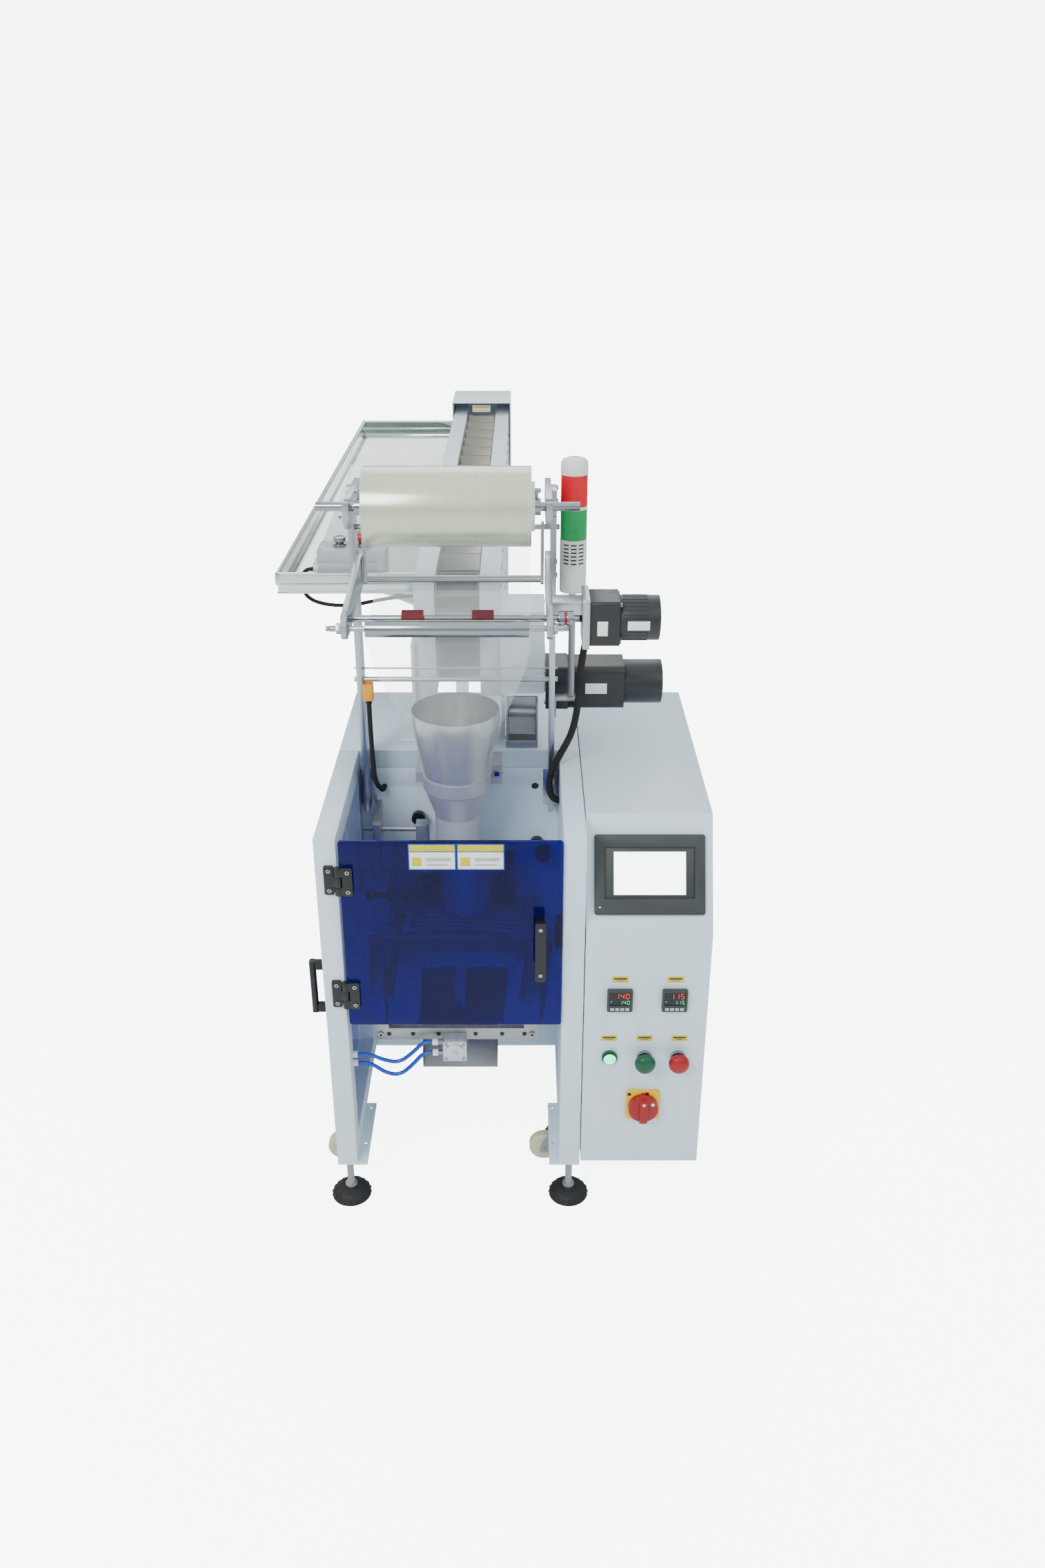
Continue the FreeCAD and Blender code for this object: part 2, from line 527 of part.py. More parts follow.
def forming_set():
    outside = [(RIM_R, RIM_Z), (RIM_R, RIM_Z - 22), (RING_R, RING_TOP), (RING_R, RING_LOW),
               (TUBE_R, TUBE_TOP), (TUBE_R, TUBE_LOW)]
    inside = [(radius - FUNNEL_WALL, z) for radius, z in reversed(outside)]
    funnel = turned_z(XC, TUBE_Y, outside + inside)
    band = cyl_z(XC, TUBE_Y, RING_LOW + 4, RING_TOP - 4, RING_R + 3).cut(cyl_z(XC, TUBE_Y, 700, 900, RING_R))
    left = box(XC - 82, XC - 62, TUBE_Y + 8, BACK_WALL_Y, RING_LOW + 6, RING_TOP - 6)
    right = box(XC + 50, XC + 88, TUBE_Y + 30, BACK_WALL_Y, RING_LOW - 8, RING_TOP - 1)
    around = cyl_z(XC, TUBE_Y, 700, 900, RING_R + 3)
    return [funnel, band, left.cut(around), right.cut(around)]


ROD_Z, ROD_R = 460.0, 8.0
ROD_X = (-255.0, -4.0)
JAW_Z0, JAW_Z1 = 440.0, 480.0
CYL_X, CYL_Z = -132.0, 363.0
WHEEL_Z, WHEEL_R = 540.0, 24.0
SEAL_ROD_Z = (590.0, 650.0, 715.0)
CRANK_X, CRANK_Z = -254.5, 624.0


def seal_frame():
    portal = box(-288, 29, 55, 67, 370, 603).cut(box(-262, 3, 54, 68, 396, 575))
    rods = [cyl_y(x, 67, BACK_WALL_Y, ROD_Z, ROD_R) for x in ROD_X]
    ties = [box(x - 13, x + 13, 67, BACK_WALL_Y, 376, 390) for x in (-275.0, 16.0)]
    housings = [cyl_y(XC + s * (TUBE_R + 1.6 + WHEEL_R), 340, BACK_WALL_Y, WHEEL_Z, 15) for s in (-1, 1)]
    housings = [h.cut(cyl_y(XC + s * (TUBE_R + 1.6 + WHEEL_R), 339, 384, WHEEL_Z, 6 + RUN))
                for h, s in zip(housings, (-1, 1))]
    carrier = fuse(box(-300, -284, 270, 306, 572, 733), box(-300, -292, 306, BACK_WALL_Y, 572, 733))
    for z in SEAL_ROD_Z:
        carrier = carrier.cut(cyl_x(-305, -280, TUBE_Y, z, 5 + RUN))
    crank = fuse(cyl_y(CRANK_X, 156, BACK_WALL_Y, CRANK_Z, 6), cyl_y(CRANK_X, 144, 156, CRANK_Z, 9))
    bar = cyl_x(-289, -220, 150, CRANK_Z, 4)
    balls = [Part.makeSphere(10, V(x, 150, CRANK_Z)) for x in (-291, -218)]
    crank = fuse(crank, bar, *balls)
    knobs = [fuse(cyl_y(x, 372, BACK_WALL_Y, z, 6), cyl_y(x, 358, 372, z, 14))
             for x, z in ((10, 560), (30, 640), (-215, 700))]
    return [portal] + rods + ties + housings + [carrier, crank] + knobs


def jaw(y0, y1, inner, rod_bore):
    body = box(-236, -23, y0, y1, JAW_Z0, JAW_Z1)
    ears = [box(x - 19, x + 19, y0 + 6, y1 - 6, ROD_Z - 14, ROD_Z + 14) for x in ROD_X]
    grooves = [box(-237, -22, inner - 1.5, inner + 1.5, z, z + 2) for z in (448, 455, 463, 470)]
    shape = fuse(body, *ears)
    for x in ROD_X:
        shape = shape.cut(cyl_y(x, y0 - 1, y1 + 1, ROD_Z, rod_bore))
    return cut(shape, *grooves)


def front_jaw():
    shape = jaw(215, 258, 258, ROD_R + RUN)
    link = box(CYL_X - 10, CYL_X + 10, 218, 238, CYL_Z - 10, JAW_Z0)
    rod = cyl_y(CYL_X, 28, 218, CYL_Z, 6)
    return [fuse(shape, link, rod)]


def rear_jaw():
    return [jaw(318, 361, 318, ROD_R + RUN)]


def vertical_seal_bar():
    bar = box(-214, -192, 274, 302, 578, 730)
    nose = box(-193, -187.5, TUBE_Y - 5, TUBE_Y + 5, 578, 730)
    rods = [cyl_x(-322, -213, TUBE_Y, z, 5) for z in SEAL_ROD_Z]
    return [fuse(bar, nose, *rods)]


def pull_wheel(side):
    x = XC + side * (TUBE_R + 1.6 + WHEEL_R)
    tyre = cyl_y(x, 277, 299, WHEEL_Z, WHEEL_R).cut(cyl_y(x, 276, 300, WHEEL_Z, 14))
    return [tyre, fuse(cyl_y(x, 279, 297, WHEEL_Z, 14), cyl_y(x, 272, 382, WHEEL_Z, 6))]


def seal_cylinder():
    block = rounded(box(CYL_X - 23, CYL_X + 23, 24, 55, CYL_Z - 23, CYL_Z + 23), 3, V(0, 1, 0))
    cap = cyl_y(CYL_X, 20, 24, CYL_Z, 19)
    boss = cyl_y(CYL_X, 14, 20, CYL_Z, 5)
    block = fuse(block, cap, boss).cut(cyl_y(CYL_X, 27, 60, CYL_Z, 6 + RUN))
    fittings = []
    for z in (CYL_Z + 13, CYL_Z - 12):
        elbow = fuse(cyl_x(-165, -155, 38, z, 5), cyl_x(-176, -165, 38, z, 6.5))
        fittings.append(elbow)
    bulkheads = [cyl_x(RECESS_LEFT, RECESS_LEFT + 10, 33, z, 6.5) for z in (350.0, 330.0)]
    return [block] + fittings + bulkheads


def discharge_chute():
    top, low = (BACK_WALL_Y - 1.0, 421.0), (158.0, 221.0)
    plate = profile_x(XC - 78, XC + 78, [low, top, (top[0], top[1] + 2.5), (low[0], low[1] + 2.5)])
    walls = []
    for x in (XC - 78, XC + 76):
        walls.append(profile_x(x, x + 2, [low, (low[0], low[1] + 34), (300, 382), (318, 382), top]))
    hanger = box(XC - 60, XC + 60, BACK_WALL_Y - 3, BACK_WALL_Y, 405, 419)
    return [fuse(plate, *walls), hanger.cut(plate)]


# ------------------------------------------------------------------ bucket conveyor
RAIL_L, RAIL_R = XC - 85.5, XC + 85.5   # outer faces of the two rails
BUCKET_START = 527.0
BUCKET_COUNT = 14
STAND_Y = 1900.0


def conveyor_rails():
    bores = [cyl_x(RAIL_L - 1, RAIL_R + 1, y, SPROCKET_Z, 10 + RUN) for y in (HEAD_Y, TAIL_Y)]
    rails = []
    for x in (RAIL_L, RAIL_R - RAIL_WIDTH):
        rail = box(x, x + RAIL_WIDTH, RAIL_FRONT, RAIL_BACK, RAIL_BOTTOM, RAIL_TOP)
        hollow = box(x + SKIN, x + RAIL_WIDTH - SKIN, RAIL_FRONT + SKIN, RAIL_BACK + 1, RAIL_BOTTOM + SKIN,
                     RAIL_TOP - SKIN)
        rails.append(cut(rail, hollow, *bores))
    pan = box(RAIL_L + RAIL_WIDTH, RAIL_R - RAIL_WIDTH, 520, 2300, RAIL_BOTTOM, RAIL_BOTTOM + SKIN)
    return rails + [pan]


def conveyor_covers():
    drive = box(RAIL_R, 44, 402, 520, 962, 1132).cut(box(RAIL_R, 42, 404, 518, 964, 1130))
    drive = drive.cut(cyl_x(40, 46, 430, 978, 12))
    hood = box(XC - 91.5, XC + 91.5, TRAY_BACK + 1, 2416, 940, 1220)
    hood = hood.cut(box(XC - 89.5, XC + 89.5, TRAY_BACK, 2414, 939, 1218))
    return [drive, hood]


def conveyor_motor():
    y, z = 430.0, 978.0
    gearbox = rounded(box(46, 91, y - 44, y + 45, z - 45, z + 45), 6, V(1, 0, 0))
    motor = rounded(box(91, 203, y - 44, y + 45, z - 45, z + 45), 14, V(1, 0, 0))
    cap = cyl_x(203, 279, y, z, 44)
    plate = box(44, 46, y - 26, y + 60, z - 14, z + 60)
    plate = plate.cut(cyl_x(40, 50, y, z, 12))
    return [gearbox, motor, cap, plate]


def conveyor_supports():
    left = box(RAIL_L - 8, RAIL_L, 419, 560, BODY_TOP, 1060)
    left_foot = box(RAIL_L - 40, RAIL_L - 8, 419, 560, BODY_TOP, BODY_TOP + 6)
    right = box(RAIL_R, RAIL_R + 8, 440, 560, BODY_TOP, 961)
    right_foot = box(RAIL_R + 8, RAIL_R + 40, 440, 560, BODY_TOP, BODY_TOP + 6)
    roller_box = fuse(box(-33, -29, 392, 432, 862, 945), box(27, 31, 392, 432, 862, 945),
                      box(-33, 31, 428, 432, 862, 945), box(-33, 31, 392, 432, 846, 862))
    roller = cyl_x(-29, 27, 408, 920, 10)
    legs = []
    for x in (RAIL_L, RAIL_R - 40):
        leg = box(x, x + 40, STAND_Y, STAND_Y + 40, 12, RAIL_BOTTOM)
        pad = cyl_z(x + 20, STAND_Y + 20, 0, 12, 32)
        legs.append(fuse(leg, pad))
    ties = [box(RAIL_L + 40, RAIL_R - 40, STAND_Y + 5, STAND_Y + 35, z, z + 30) for z in (160.0, 700.0)]
    return [fuse(left, left_foot), fuse(right, right_foot), roller_box, roller] + legs + ties


def bucket(y0, length):
    """Open-topped bucket whose ends slope inwards to the chain."""
    z0, z1 = SPROCKET_Z + CHAIN_R, SPROCKET_Z + CHAIN_R + BUCKET_DEPTH
    x0, x1 = XC - BUCKET_WIDTH / 2, XC + BUCKET_WIDTH / 2
    outside = profile_x(x0, x1, [(y0 + 10, z0), (y0, z1), (y0 + length, z1), (y0 + length - 10, z0)])
    inside = profile_x(x0 + 1.5, x1 - 1.5, [(y0 + 12, z0 + 1.5), (y0 + 1.6, z1 + 1),
                                            (y0 + length - 1.6, z1 + 1), (y0 + length - 12, z0 + 1.5)])
    return outside.cut(inside)


def upper_buckets():
    solids = [bucket(BUCKET_START + BUCKET_PITCH * i, BUCKET_PITCH - 4) for i in range(BUCKET_COUNT)]
    z = SPROCKET_Z + CHAIN_R
    end = BUCKET_START + BUCKET_PITCH * BUCKET_COUNT
    for x in (XC - 41.5, XC + 35.5):
        solids.append(box(x, x + 6, BUCKET_START + 18, end - 10, z - 9, z))
    return solids


def sprocket_set(y):
    shaft = cyl_x(RAIL_L, RAIL_R, y, SPROCKET_Z, 10)
    discs = []
    for x in (XC - 41.5, XC + 35.5):
        disc = cyl_x(x, x + 6, y, SPROCKET_Z, 40)
        for i in range(12):
            angle = math.radians(30 * i)
            gap_y, gap_z = y + 40 * math.cos(angle), SPROCKET_Z + 40 * math.sin(angle)
            disc = disc.cut(cyl_x(x - 1, x + 7, gap_y, gap_z, 5))
        discs.append(disc)
    return fuse(shaft, *discs)


def head_sprockets():
    solids = [sprocket_set(HEAD_Y)]
    axis_point = V(0, HEAD_Y, SPROCKET_Z)
    for angle in (22, 82):
        piece = bucket(HEAD_Y - 36, 72)
        piece.rotate(axis_point, V(1, 0, 0), angle)
        web = box(XC - 41.5, XC - 35.5, HEAD_Y - 8, HEAD_Y + 8, SPROCKET_Z + 34, SPROCKET_Z + CHAIN_R)
        twin = box(XC + 35.5, XC + 41.5, HEAD_Y - 8, HEAD_Y + 8, SPROCKET_Z + 34, SPROCKET_Z + CHAIN_R)
        for part in (web, twin):
            part.rotate(axis_point, V(1, 0, 0), angle)
            piece = piece.fuse(part.cut(solids[0]))
        solids.append(piece.removeSplitter())
    return solids


def tail_sprockets():
    return [sprocket_set(TAIL_Y)]


def sorting_tray():
    x0, x1, y0, y1 = TRAY_LEFT, TRAY_RIGHT, TRAY_FRONT, TRAY_BACK
    floor = box(x0 + 2, x1, y0 + 2, y1, TRAY_FLOOR - 2, TRAY_FLOOR)
    front = rounded(box(x0, x1, y0, y0 + 12, TRAY_RIM - 26, TRAY_RIM), 5.5, V(1, 0, 0))
    left = rounded(box(x0, x0 + 12, y0, y1, TRAY_RIM - 26, TRAY_RIM), 5.5, V(0, 1, 0))
    back = rounded(box(x0, x1, y1 - 12, y1, TRAY_RIM - 26, TRAY_RIM), 5.5, V(1, 0, 0))
    skirts = [box(x0 + 4, x1, y0 + 4, y0 + 6, TRAY_FLOOR - 2, TRAY_RIM - 20),
              box(x0 + 4, x0 + 6, y0 + 4, y1 - 4, TRAY_FLOOR - 2, TRAY_RIM - 20),
              box(x0 + 4, x1, y1 - 6, y1 - 4, TRAY_FLOOR - 2, TRAY_RIM - 20)]
    lip = box(x1 - 2, x1, y0 + 2, y1 - 2, TRAY_FLOOR - 2, TRAY_RIM - 22)
    pan = fuse(floor, front, left, back, lip, *skirts).cut(cyl_z(-461, 602, 1110, 1130, 7))
    brackets = []
    for y in (760.0, 1300.0, 2000.0):
        arm = profile_y(y, y + 5, [(RAIL_L, TRAY_FLOOR - 2), (x0 + 60, TRAY_FLOOR - 2),
                                   (x0 + 60, TRAY_FLOOR - 14), (RAIL_L - 20, TRAY_FLOOR - 100),
                                   (RAIL_L, TRAY_FLOOR - 100)])
        brackets.append(arm)
    return [pan] + brackets


TRAY_START_X, TRAY_STOP_X, TRAY_BUTTON_Y, TRAY_BOX_TOP = -377.0, -330.0, 604.0, 1208.0


def tray_control_box():
    base = rounded(box(-420, -281, 570, 640, TRAY_FLOOR, TRAY_BOX_TOP - 25), 4, V(0, 0, 1))
    lid = rounded(box(-421, -280, 569, 641, TRAY_BOX_TOP - 25, TRAY_BOX_TOP), 4, V(0, 0, 1))
    for x in (TRAY_START_X, TRAY_STOP_X):
        lid = lid.cut(cyl_z(x, TRAY_BUTTON_Y, TRAY_BOX_TOP - 26, TRAY_BOX_TOP + 1, 11))
        base = base.cut(cyl_z(x, TRAY_BUTTON_Y, TRAY_BOX_TOP - 45, TRAY_BOX_TOP - 20, 13))
    rings = []
    for x in (TRAY_START_X, TRAY_STOP_X):
        ring = fuse(cyl_z(x, TRAY_BUTTON_Y, TRAY_BOX_TOP, TRAY_BOX_TOP + 6, 14),
                    cyl_z(x, TRAY_BUTTON_Y, TRAY_BOX_TOP - 24, TRAY_BOX_TOP, 10.9))
        bore = cyl_z(x, TRAY_BUTTON_Y, TRAY_BOX_TOP - 30, TRAY_BOX_TOP + 10, BUTTON_STEM_R + RUN)
        rings.append(ring.cut(bore))
    gland = cyl_x(-434, -420, 602, 1160, 8)
    return [base, lid, gland] + rings


def tray_start_button():
    x, y, z = TRAY_START_X, TRAY_BUTTON_Y, TRAY_BOX_TOP
    return [fuse(cyl_z(x, y, z - 22, z + 12, BUTTON_STEM_R), cyl_z(x, y, z + 11, z + 19, 13))]


def tray_stop_button():
    x, y, z = TRAY_STOP_X, TRAY_BUTTON_Y, TRAY_BOX_TOP
    head = turned_z(x, y, [(0, z + 13), (17, z + 13), (20, z + 16), (20, z + 22), (16, z + 29), (0, z + 32)])
    return [fuse(cyl_z(x, y, z - 22, z + 14, BUTTON_STEM_R), head)]


# ------------------------------------------------------------------ film and cords
def film_web():
    x0, x1 = XC - FILM_WIDTH / 2 + 1, XC + FILM_WIDTH / 2 - 1
    solids = []
    for y0, z0, y1, z1 in ((ROLL_Y + ROLL_R + 1, ROLL_Z - 8, DANCER_Y + 10, DANCER_LOW_Z + 2),
                           (DANCER_Y + 8, DANCER_LOW_Z - 12, FEED_Y + 22, FEED_Z - 17)):
        span = V(0, y1 - y0, z1 - z0).normalize()
        side = V(0, -span.z, span.y) * 0.5
        corners = [V(x0, y0, z0), V(x0, y1, z1), V(x0, y1, z1) + side, V(x0, y0, z0) + side]
        solids.append(Part.Face(Part.makePolygon(corners + [corners[0]])).extrude(V(x1 - x0, 0, 0)))
    return solids


def film_sleeve():
    """Film that leaves the rollers flat and folds round the funnel and the tube."""
    def arc(radius, z, half_angle):
        points = []
        for angle in (-90 - half_angle, -90, -90 + half_angle):
            a = math.radians(angle)
            points.append(V(XC + radius * math.cos(a), TUBE_Y + radius * math.sin(a), z))
        return Part.Arc(*points).toShape()

    line = Part.makeLine(V(XC - FILM_WIDTH / 2, 116, 1188), V(XC + FILM_WIDTH / 2, 116, 1188))
    upper = Part.makeRuledSurface(line, arc(RING_R + 5, RING_TOP + 2, 82)).extrude(V(0, -0.6, 0))
    sleeve = cyl_z(XC, TUBE_Y, TUBE_LOW, TUBE_TOP - 2, TUBE_R + 1)
    sleeve = sleeve.cut(cyl_z(XC, TUBE_Y, 500, 800, TUBE_R + 0.4))
    return [upper, sleeve]


def sensor_cable():
    route = [(-301, 335, 968), (-301, 335, 905), (-299, 332, 842), (-298, 341, 794), (-287, 358, 768),
             (-284.5, 370, 764), (-284.5, 386, 764)]
    return [cord_tube("sensor_cable", route, 5)]


def main_conduit():
    route = [(140, 178, 1210), (140, 214, 1210), (131, 254, 1176), (119, 284, 1122), (110, 299, 1052),
             (108, 306, 978), (98, 309, 918), (77, 311, 874), (60, 314, 838), (53, 316, 808), (54, 317, 787),
             (60, 317, 771), (69, 317, 765), (78, 317, 764)]
    return [cord_tube("main_conduit", route, 7)]


def air_tube(z0, drop):
    z1 = 350.0 if z0 > CYL_Z else 330.0
    route = [(-176, 38, z0), (-194, 38, z0), (-214, 36, z0 - drop * 0.5), (-242, 33, z0 - drop),
             (-272, 32, z0 - drop * 0.85), (-298, 33, z1), (-323, 33, z1)]
    return [cord_tube("air_tube", route, 4)]


def tray_cable():
    route = [(-434, 602, 1160), (-447, 602, 1160), (-458, 602, 1149), (-461, 602, 1130), (-459, 602, 1110),
             (-445, 602, 1093), (-418, 600, 1084), (-384, 598, 1081), (-348, 600, 1083), (-312, 606, 1089),
             (-276, 611, 1094), (-245, 613, 1097), (RAIL_L, 613, 1097)]
    return [cord_tube("tray_cable", route, 4)]


# ------------------------------------------------------------------ export
NODES = {
    "left_side_frame": left_side_frame, "right_side_frame": right_side_frame,
    "recess_back_wall": recess_back_wall, "top_plate": top_plate, "rear_covers": rear_covers,
    "base_plates": base_plates, "leveling_feet": leveling_feet, "control_cabinet": control_cabinet,
    "electrical_panel": electrical_panel, "hmi_panel": hmi_panel,
    "temperature_controllers": temperature_controllers, "panel_bezels": panel_bezels,
    "door_hinges": door_hinges, "film_stand": film_stand, "unwind_motor": unwind_motor,
    "tower_light_base": tower_light_base, "tower_light_lenses": tower_light_lenses,
    "forming_set": forming_set, "seal_frame": seal_frame, "seal_cylinder": seal_cylinder,
    "discharge_chute": discharge_chute, "conveyor_rails": conveyor_rails,
    "conveyor_covers": conveyor_covers, "conveyor_motor": conveyor_motor,
    "conveyor_supports": conveyor_supports, "sorting_tray": sorting_tray,
    "tray_control_box": tray_control_box, "film_web": film_web, "film_sleeve": film_sleeve,
    "sensor_cable": sensor_cable, "main_conduit": main_conduit, "tray_cable": tray_cable,
    "upper_air_tube": lambda: air_tube(CYL_Z + 13, 46), "lower_air_tube": lambda: air_tube(CYL_Z - 12, 52),
    "guard_door": guard_door, "side_guard": side_guard, "film_roll": film_roll, "roll_shaft": roll_shaft,
    "dancer_frame": dancer_frame, "front_roller": front_roller, "feed_roller": feed_roller,
    "front_jaw": front_jaw, "rear_jaw": rear_jaw, "vertical_seal_bar": vertical_seal_bar,
    "pull_wheel_left": lambda: pull_wheel(-1), "pull_wheel_right": lambda: pull_wheel(1),
    "start_button": lambda: mushroom(START_X), "emergency_stop": lambda: mushroom(STOP_X),
    "main_switch_handle": main_switch_handle, "tray_start_button": tray_start_button,
    "tray_stop_button": tray_stop_button, "upper_buckets": upper_buckets,
    "head_sprockets": head_sprockets, "tail_sprockets": tail_sprockets,
    "caster_fork_left": lambda: caster_fork(SWIVEL_X[0]),
    "caster_fork_right": lambda: caster_fork(SWIVEL_X[1]),
    "caster_wheel_left": lambda: caster_wheel(SWIVEL_X[0] - TRAIL, CASTER_Y, True),
    "caster_wheel_right": lambda: caster_wheel(SWIVEL_X[1] - TRAIL, CASTER_Y, True),
    "rear_wheel_left": lambda: caster_wheel(SWIVEL_X[0], 571.0, False),
    "rear_wheel_right": lambda: caster_wheel(SWIVEL_X[1], 571.0, False),
}


def write_parts():
    os.makedirs("parts", exist_ok=True)
    total = FreeCAD.BoundBox()
    for name, make in NODES.items():
        group = Part.makeCompound([solid for shape in make() for solid in shape.Solids])
        group.translate(OFFSET)
        total.add(group.BoundBox)
        if not group.isValid() or not group.Solids:
            print("check", name, "valid", group.isValid(), "solids", len(group.Solids))
        group.exportStep(f"parts/{name}.step")
    print(len(NODES), "nodes, box", total)


write_parts()
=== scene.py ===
import json
import math

import bmesh
import bpy
from mathutils import Matrix, Vector


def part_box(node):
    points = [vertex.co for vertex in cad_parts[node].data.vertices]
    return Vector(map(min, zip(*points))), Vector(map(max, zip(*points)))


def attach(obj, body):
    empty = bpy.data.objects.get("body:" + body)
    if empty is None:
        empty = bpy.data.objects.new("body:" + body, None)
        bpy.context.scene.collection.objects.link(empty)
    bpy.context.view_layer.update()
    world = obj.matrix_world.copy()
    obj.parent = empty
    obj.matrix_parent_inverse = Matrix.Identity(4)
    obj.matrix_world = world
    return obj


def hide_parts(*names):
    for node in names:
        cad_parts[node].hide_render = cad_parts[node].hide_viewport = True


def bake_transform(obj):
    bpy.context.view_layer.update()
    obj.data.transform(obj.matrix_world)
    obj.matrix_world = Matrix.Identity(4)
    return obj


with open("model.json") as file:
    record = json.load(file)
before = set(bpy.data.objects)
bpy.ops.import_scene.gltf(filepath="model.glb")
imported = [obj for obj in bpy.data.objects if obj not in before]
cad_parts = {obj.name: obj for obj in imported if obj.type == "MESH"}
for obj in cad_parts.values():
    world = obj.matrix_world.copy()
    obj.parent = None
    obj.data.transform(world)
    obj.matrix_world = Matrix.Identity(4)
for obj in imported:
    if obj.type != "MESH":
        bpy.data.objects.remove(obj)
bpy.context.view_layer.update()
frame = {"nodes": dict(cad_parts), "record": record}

# ------------------------------------------------------------------ places
# Sizes below are in the machine's own millimetres: X right, Y back from the front face, Z up.
CABINET_LEFT_MM = 117.0
CABINET_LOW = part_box("control_cabinet")[0]
SHIFT = Vector((CABINET_LOW[0] - CABINET_LEFT_MM / 1000, CABINET_LOW[1], 0.0))
XC = -129.5                         # centre plane of the film path
TUBE_Y = 288.0
ROLL_Y, ROLL_Z, ROLL_R = 210.0, 1389.0, 69.0
HINGE_Z = (519.0, 765.0)
FEED_Y, FEED_Z = 126.0, 1214.0
MOTOR_Z, MOTOR_R = 1216.0, 39.1     # unwind motor's own axis and barrel
TOWER_X, TOWER_Y = 94.7, 345.0
SPROCKET_Y, SPROCKET_Z = 490.0, 1090.0
CYLINDER_X, CYLINDER_Z = -132.0, 363.0
RAIL_LEFT, RAIL_RIGHT = XC - 85.5, XC + 85.5
SLOPE_Z, SLOPE_DEPTH, BODY_TOP = 646.0, 103.0, 846.0


def mm(x, y, z):
    return Vector((x, y, z)) / 1000 + SHIFT


# ------------------------------------------------------------------ material tools
class Maker:
    """Small helper that builds one node material."""

    def __init__(self, name, color, roughness=0.5, metallic=0.0):
        self.mat = bpy.data.materials.new(name)
        self.mat.use_nodes = True
        self.nodes = self.mat.node_tree.nodes
        self.links = self.mat.node_tree.links
        self.bsdf = self.nodes["Principled BSDF"]
        self.bsdf.inputs["Base Color"].default_value = (*color, 1)
        self.bsdf.inputs["Roughness"].default_value = roughness
        self.bsdf.inputs["Metallic"].default_value = metallic
        self.color = color
        self.bumps = None

    def put(self, **sockets):
        for key, value in sockets.items():
            self.bsdf.inputs[key.replace("_", " ")].default_value = value
        return self

    def coords(self, scale=(1, 1, 1)):
        coord = self.nodes.new("ShaderNodeTexCoord")
        mapping = self.nodes.new("ShaderNodeMapping")
        mapping.inputs["Scale"].default_value = scale
        self.links.new(coord.outputs["Object"], mapping.inputs["Vector"])
        return mapping.outputs["Vector"]

    def noise(self, scale, detail=4.0, stretch=(1, 1, 1)):
        node = self.nodes.new("ShaderNodeTexNoise")
        node.inputs["Scale"].default_value = scale
        node.inputs["Detail"].default_value = detail
        self.links.new(self.coords(stretch), node.inputs["Vector"])
        return node.outputs["Fac"]

    def ramp(self, factor, low, high, start=0.3, end=0.7):
        node = self.nodes.new("ShaderNodeValToRGB")
        node.color_ramp.elements[0].position, node.color_ramp.elements[1].position = start, end
        node.color_ramp.elements[0].color = (*low, 1)
        node.color_ramp.elements[1].color = (*high, 1)
        self.links.new(factor, node.inputs["Fac"])
        return node.outputs["Color"]

    def vary_color(self, factor, low, high, start=0.3, end=0.7):
        self.links.new(self.ramp(factor, low, high, start, end), self.bsdf.inputs["Base Color"])
        return self

    def vary_roughness(self, factor, low, high):
        node = self.nodes.new("ShaderNodeMapRange")
        node.inputs["To Min"].default_value, node.inputs["To Max"].default_value = low, high
        self.links.new(factor, node.inputs["Value"])
        self.links.new(node.outputs["Result"], self.bsdf.inputs["Roughness"])
        return self

    def bump(self, factor, distance, strength=1.0):
        node = self.nodes.new("ShaderNodeBump")
        node.inputs["Distance"].default_value = distance
        node.inputs["Strength"].default_value = strength
        self.links.new(factor, node.inputs["Height"])
        if self.bumps:
            self.links.new(self.bumps, node.inputs["Normal"])
        self.links.new(node.outputs["Normal"], self.bsdf.inputs["Normal"])
        self.bumps = node.outputs["Normal"]
        return self


def tint(color, factor):
    return tuple(min(1.0, c * factor) for c in color)


def powder_coat(name, color):
    m = Maker(name, color, 0.42)
    m.vary_color(m.noise(3.0), tint(color, 0.97), tint(color, 1.02))
    m.vary_roughness(m.noise(60.0), 0.36, 0.5)
    m.bump(m.noise(900.0, 2.0), 0.00012, 0.55)
    return m.put(Coat_Weight=0.12, Coat_Roughness=0.25).mat


def brushed(name, color, along, rough=0.3):
    stretch = {"X": (3, 160, 160), "Y": (160, 3, 160), "Z": (160, 160, 3)}[along]
    m = Maker(name, color, rough, 1.0)
    grain = m.noise(6.0, 6.0, stretch)
    m.vary_color(grain, tint(color, 0.86), tint(color, 1.06))
    m.vary_roughness(grain, rough - 0.08, rough + 0.12)
    return m.bump(grain, 0.00005, 0.4).mat


def polished(name, color, rough):
    m = Maker(name, color, rough, 1.0)
    m.vary_roughness(m.noise(14.0), rough * 0.6, rough * 1.9)
    m.bump(m.noise(2.6, 2.0), 0.006, 0.16)
    return m.bump(m.noise(22.0, 2.0), 0.0006, 0.2).mat


def satin(name, color):
    m = Maker(name, color, 0.42, 0.45)
    return m.vary_roughness(m.noise(40.0), 0.36, 0.5).mat


def plastic(name, color, rough):
    m = Maker(name, color, rough)
    m.vary_color(m.noise(20.0), tint(color, 0.92), tint(color, 1.06))
    m.vary_roughness(m.noise(130.0), rough - 0.07, rough + 0.08)
    return m.bump(m.noise(1400.0, 2.0), 0.00008, 0.6).mat


def rubber(name, color):
    m = Maker(name, color, 0.7)
    m.vary_color(m.noise(30.0), tint(color, 0.7), tint(color, 1.5))
    m.vary_roughness(m.noise(90.0), 0.58, 0.82)
    return m.bump(m.noise(700.0), 0.0002, 0.5).mat


def glow(name, color, strength):
    m = Maker(name, color, 0.35)
    m.put(Emission_Color=(*color, 1), Emission_Strength=strength)
    return m.bump(m.noise(500.0), 0.00005, 0.3).mat


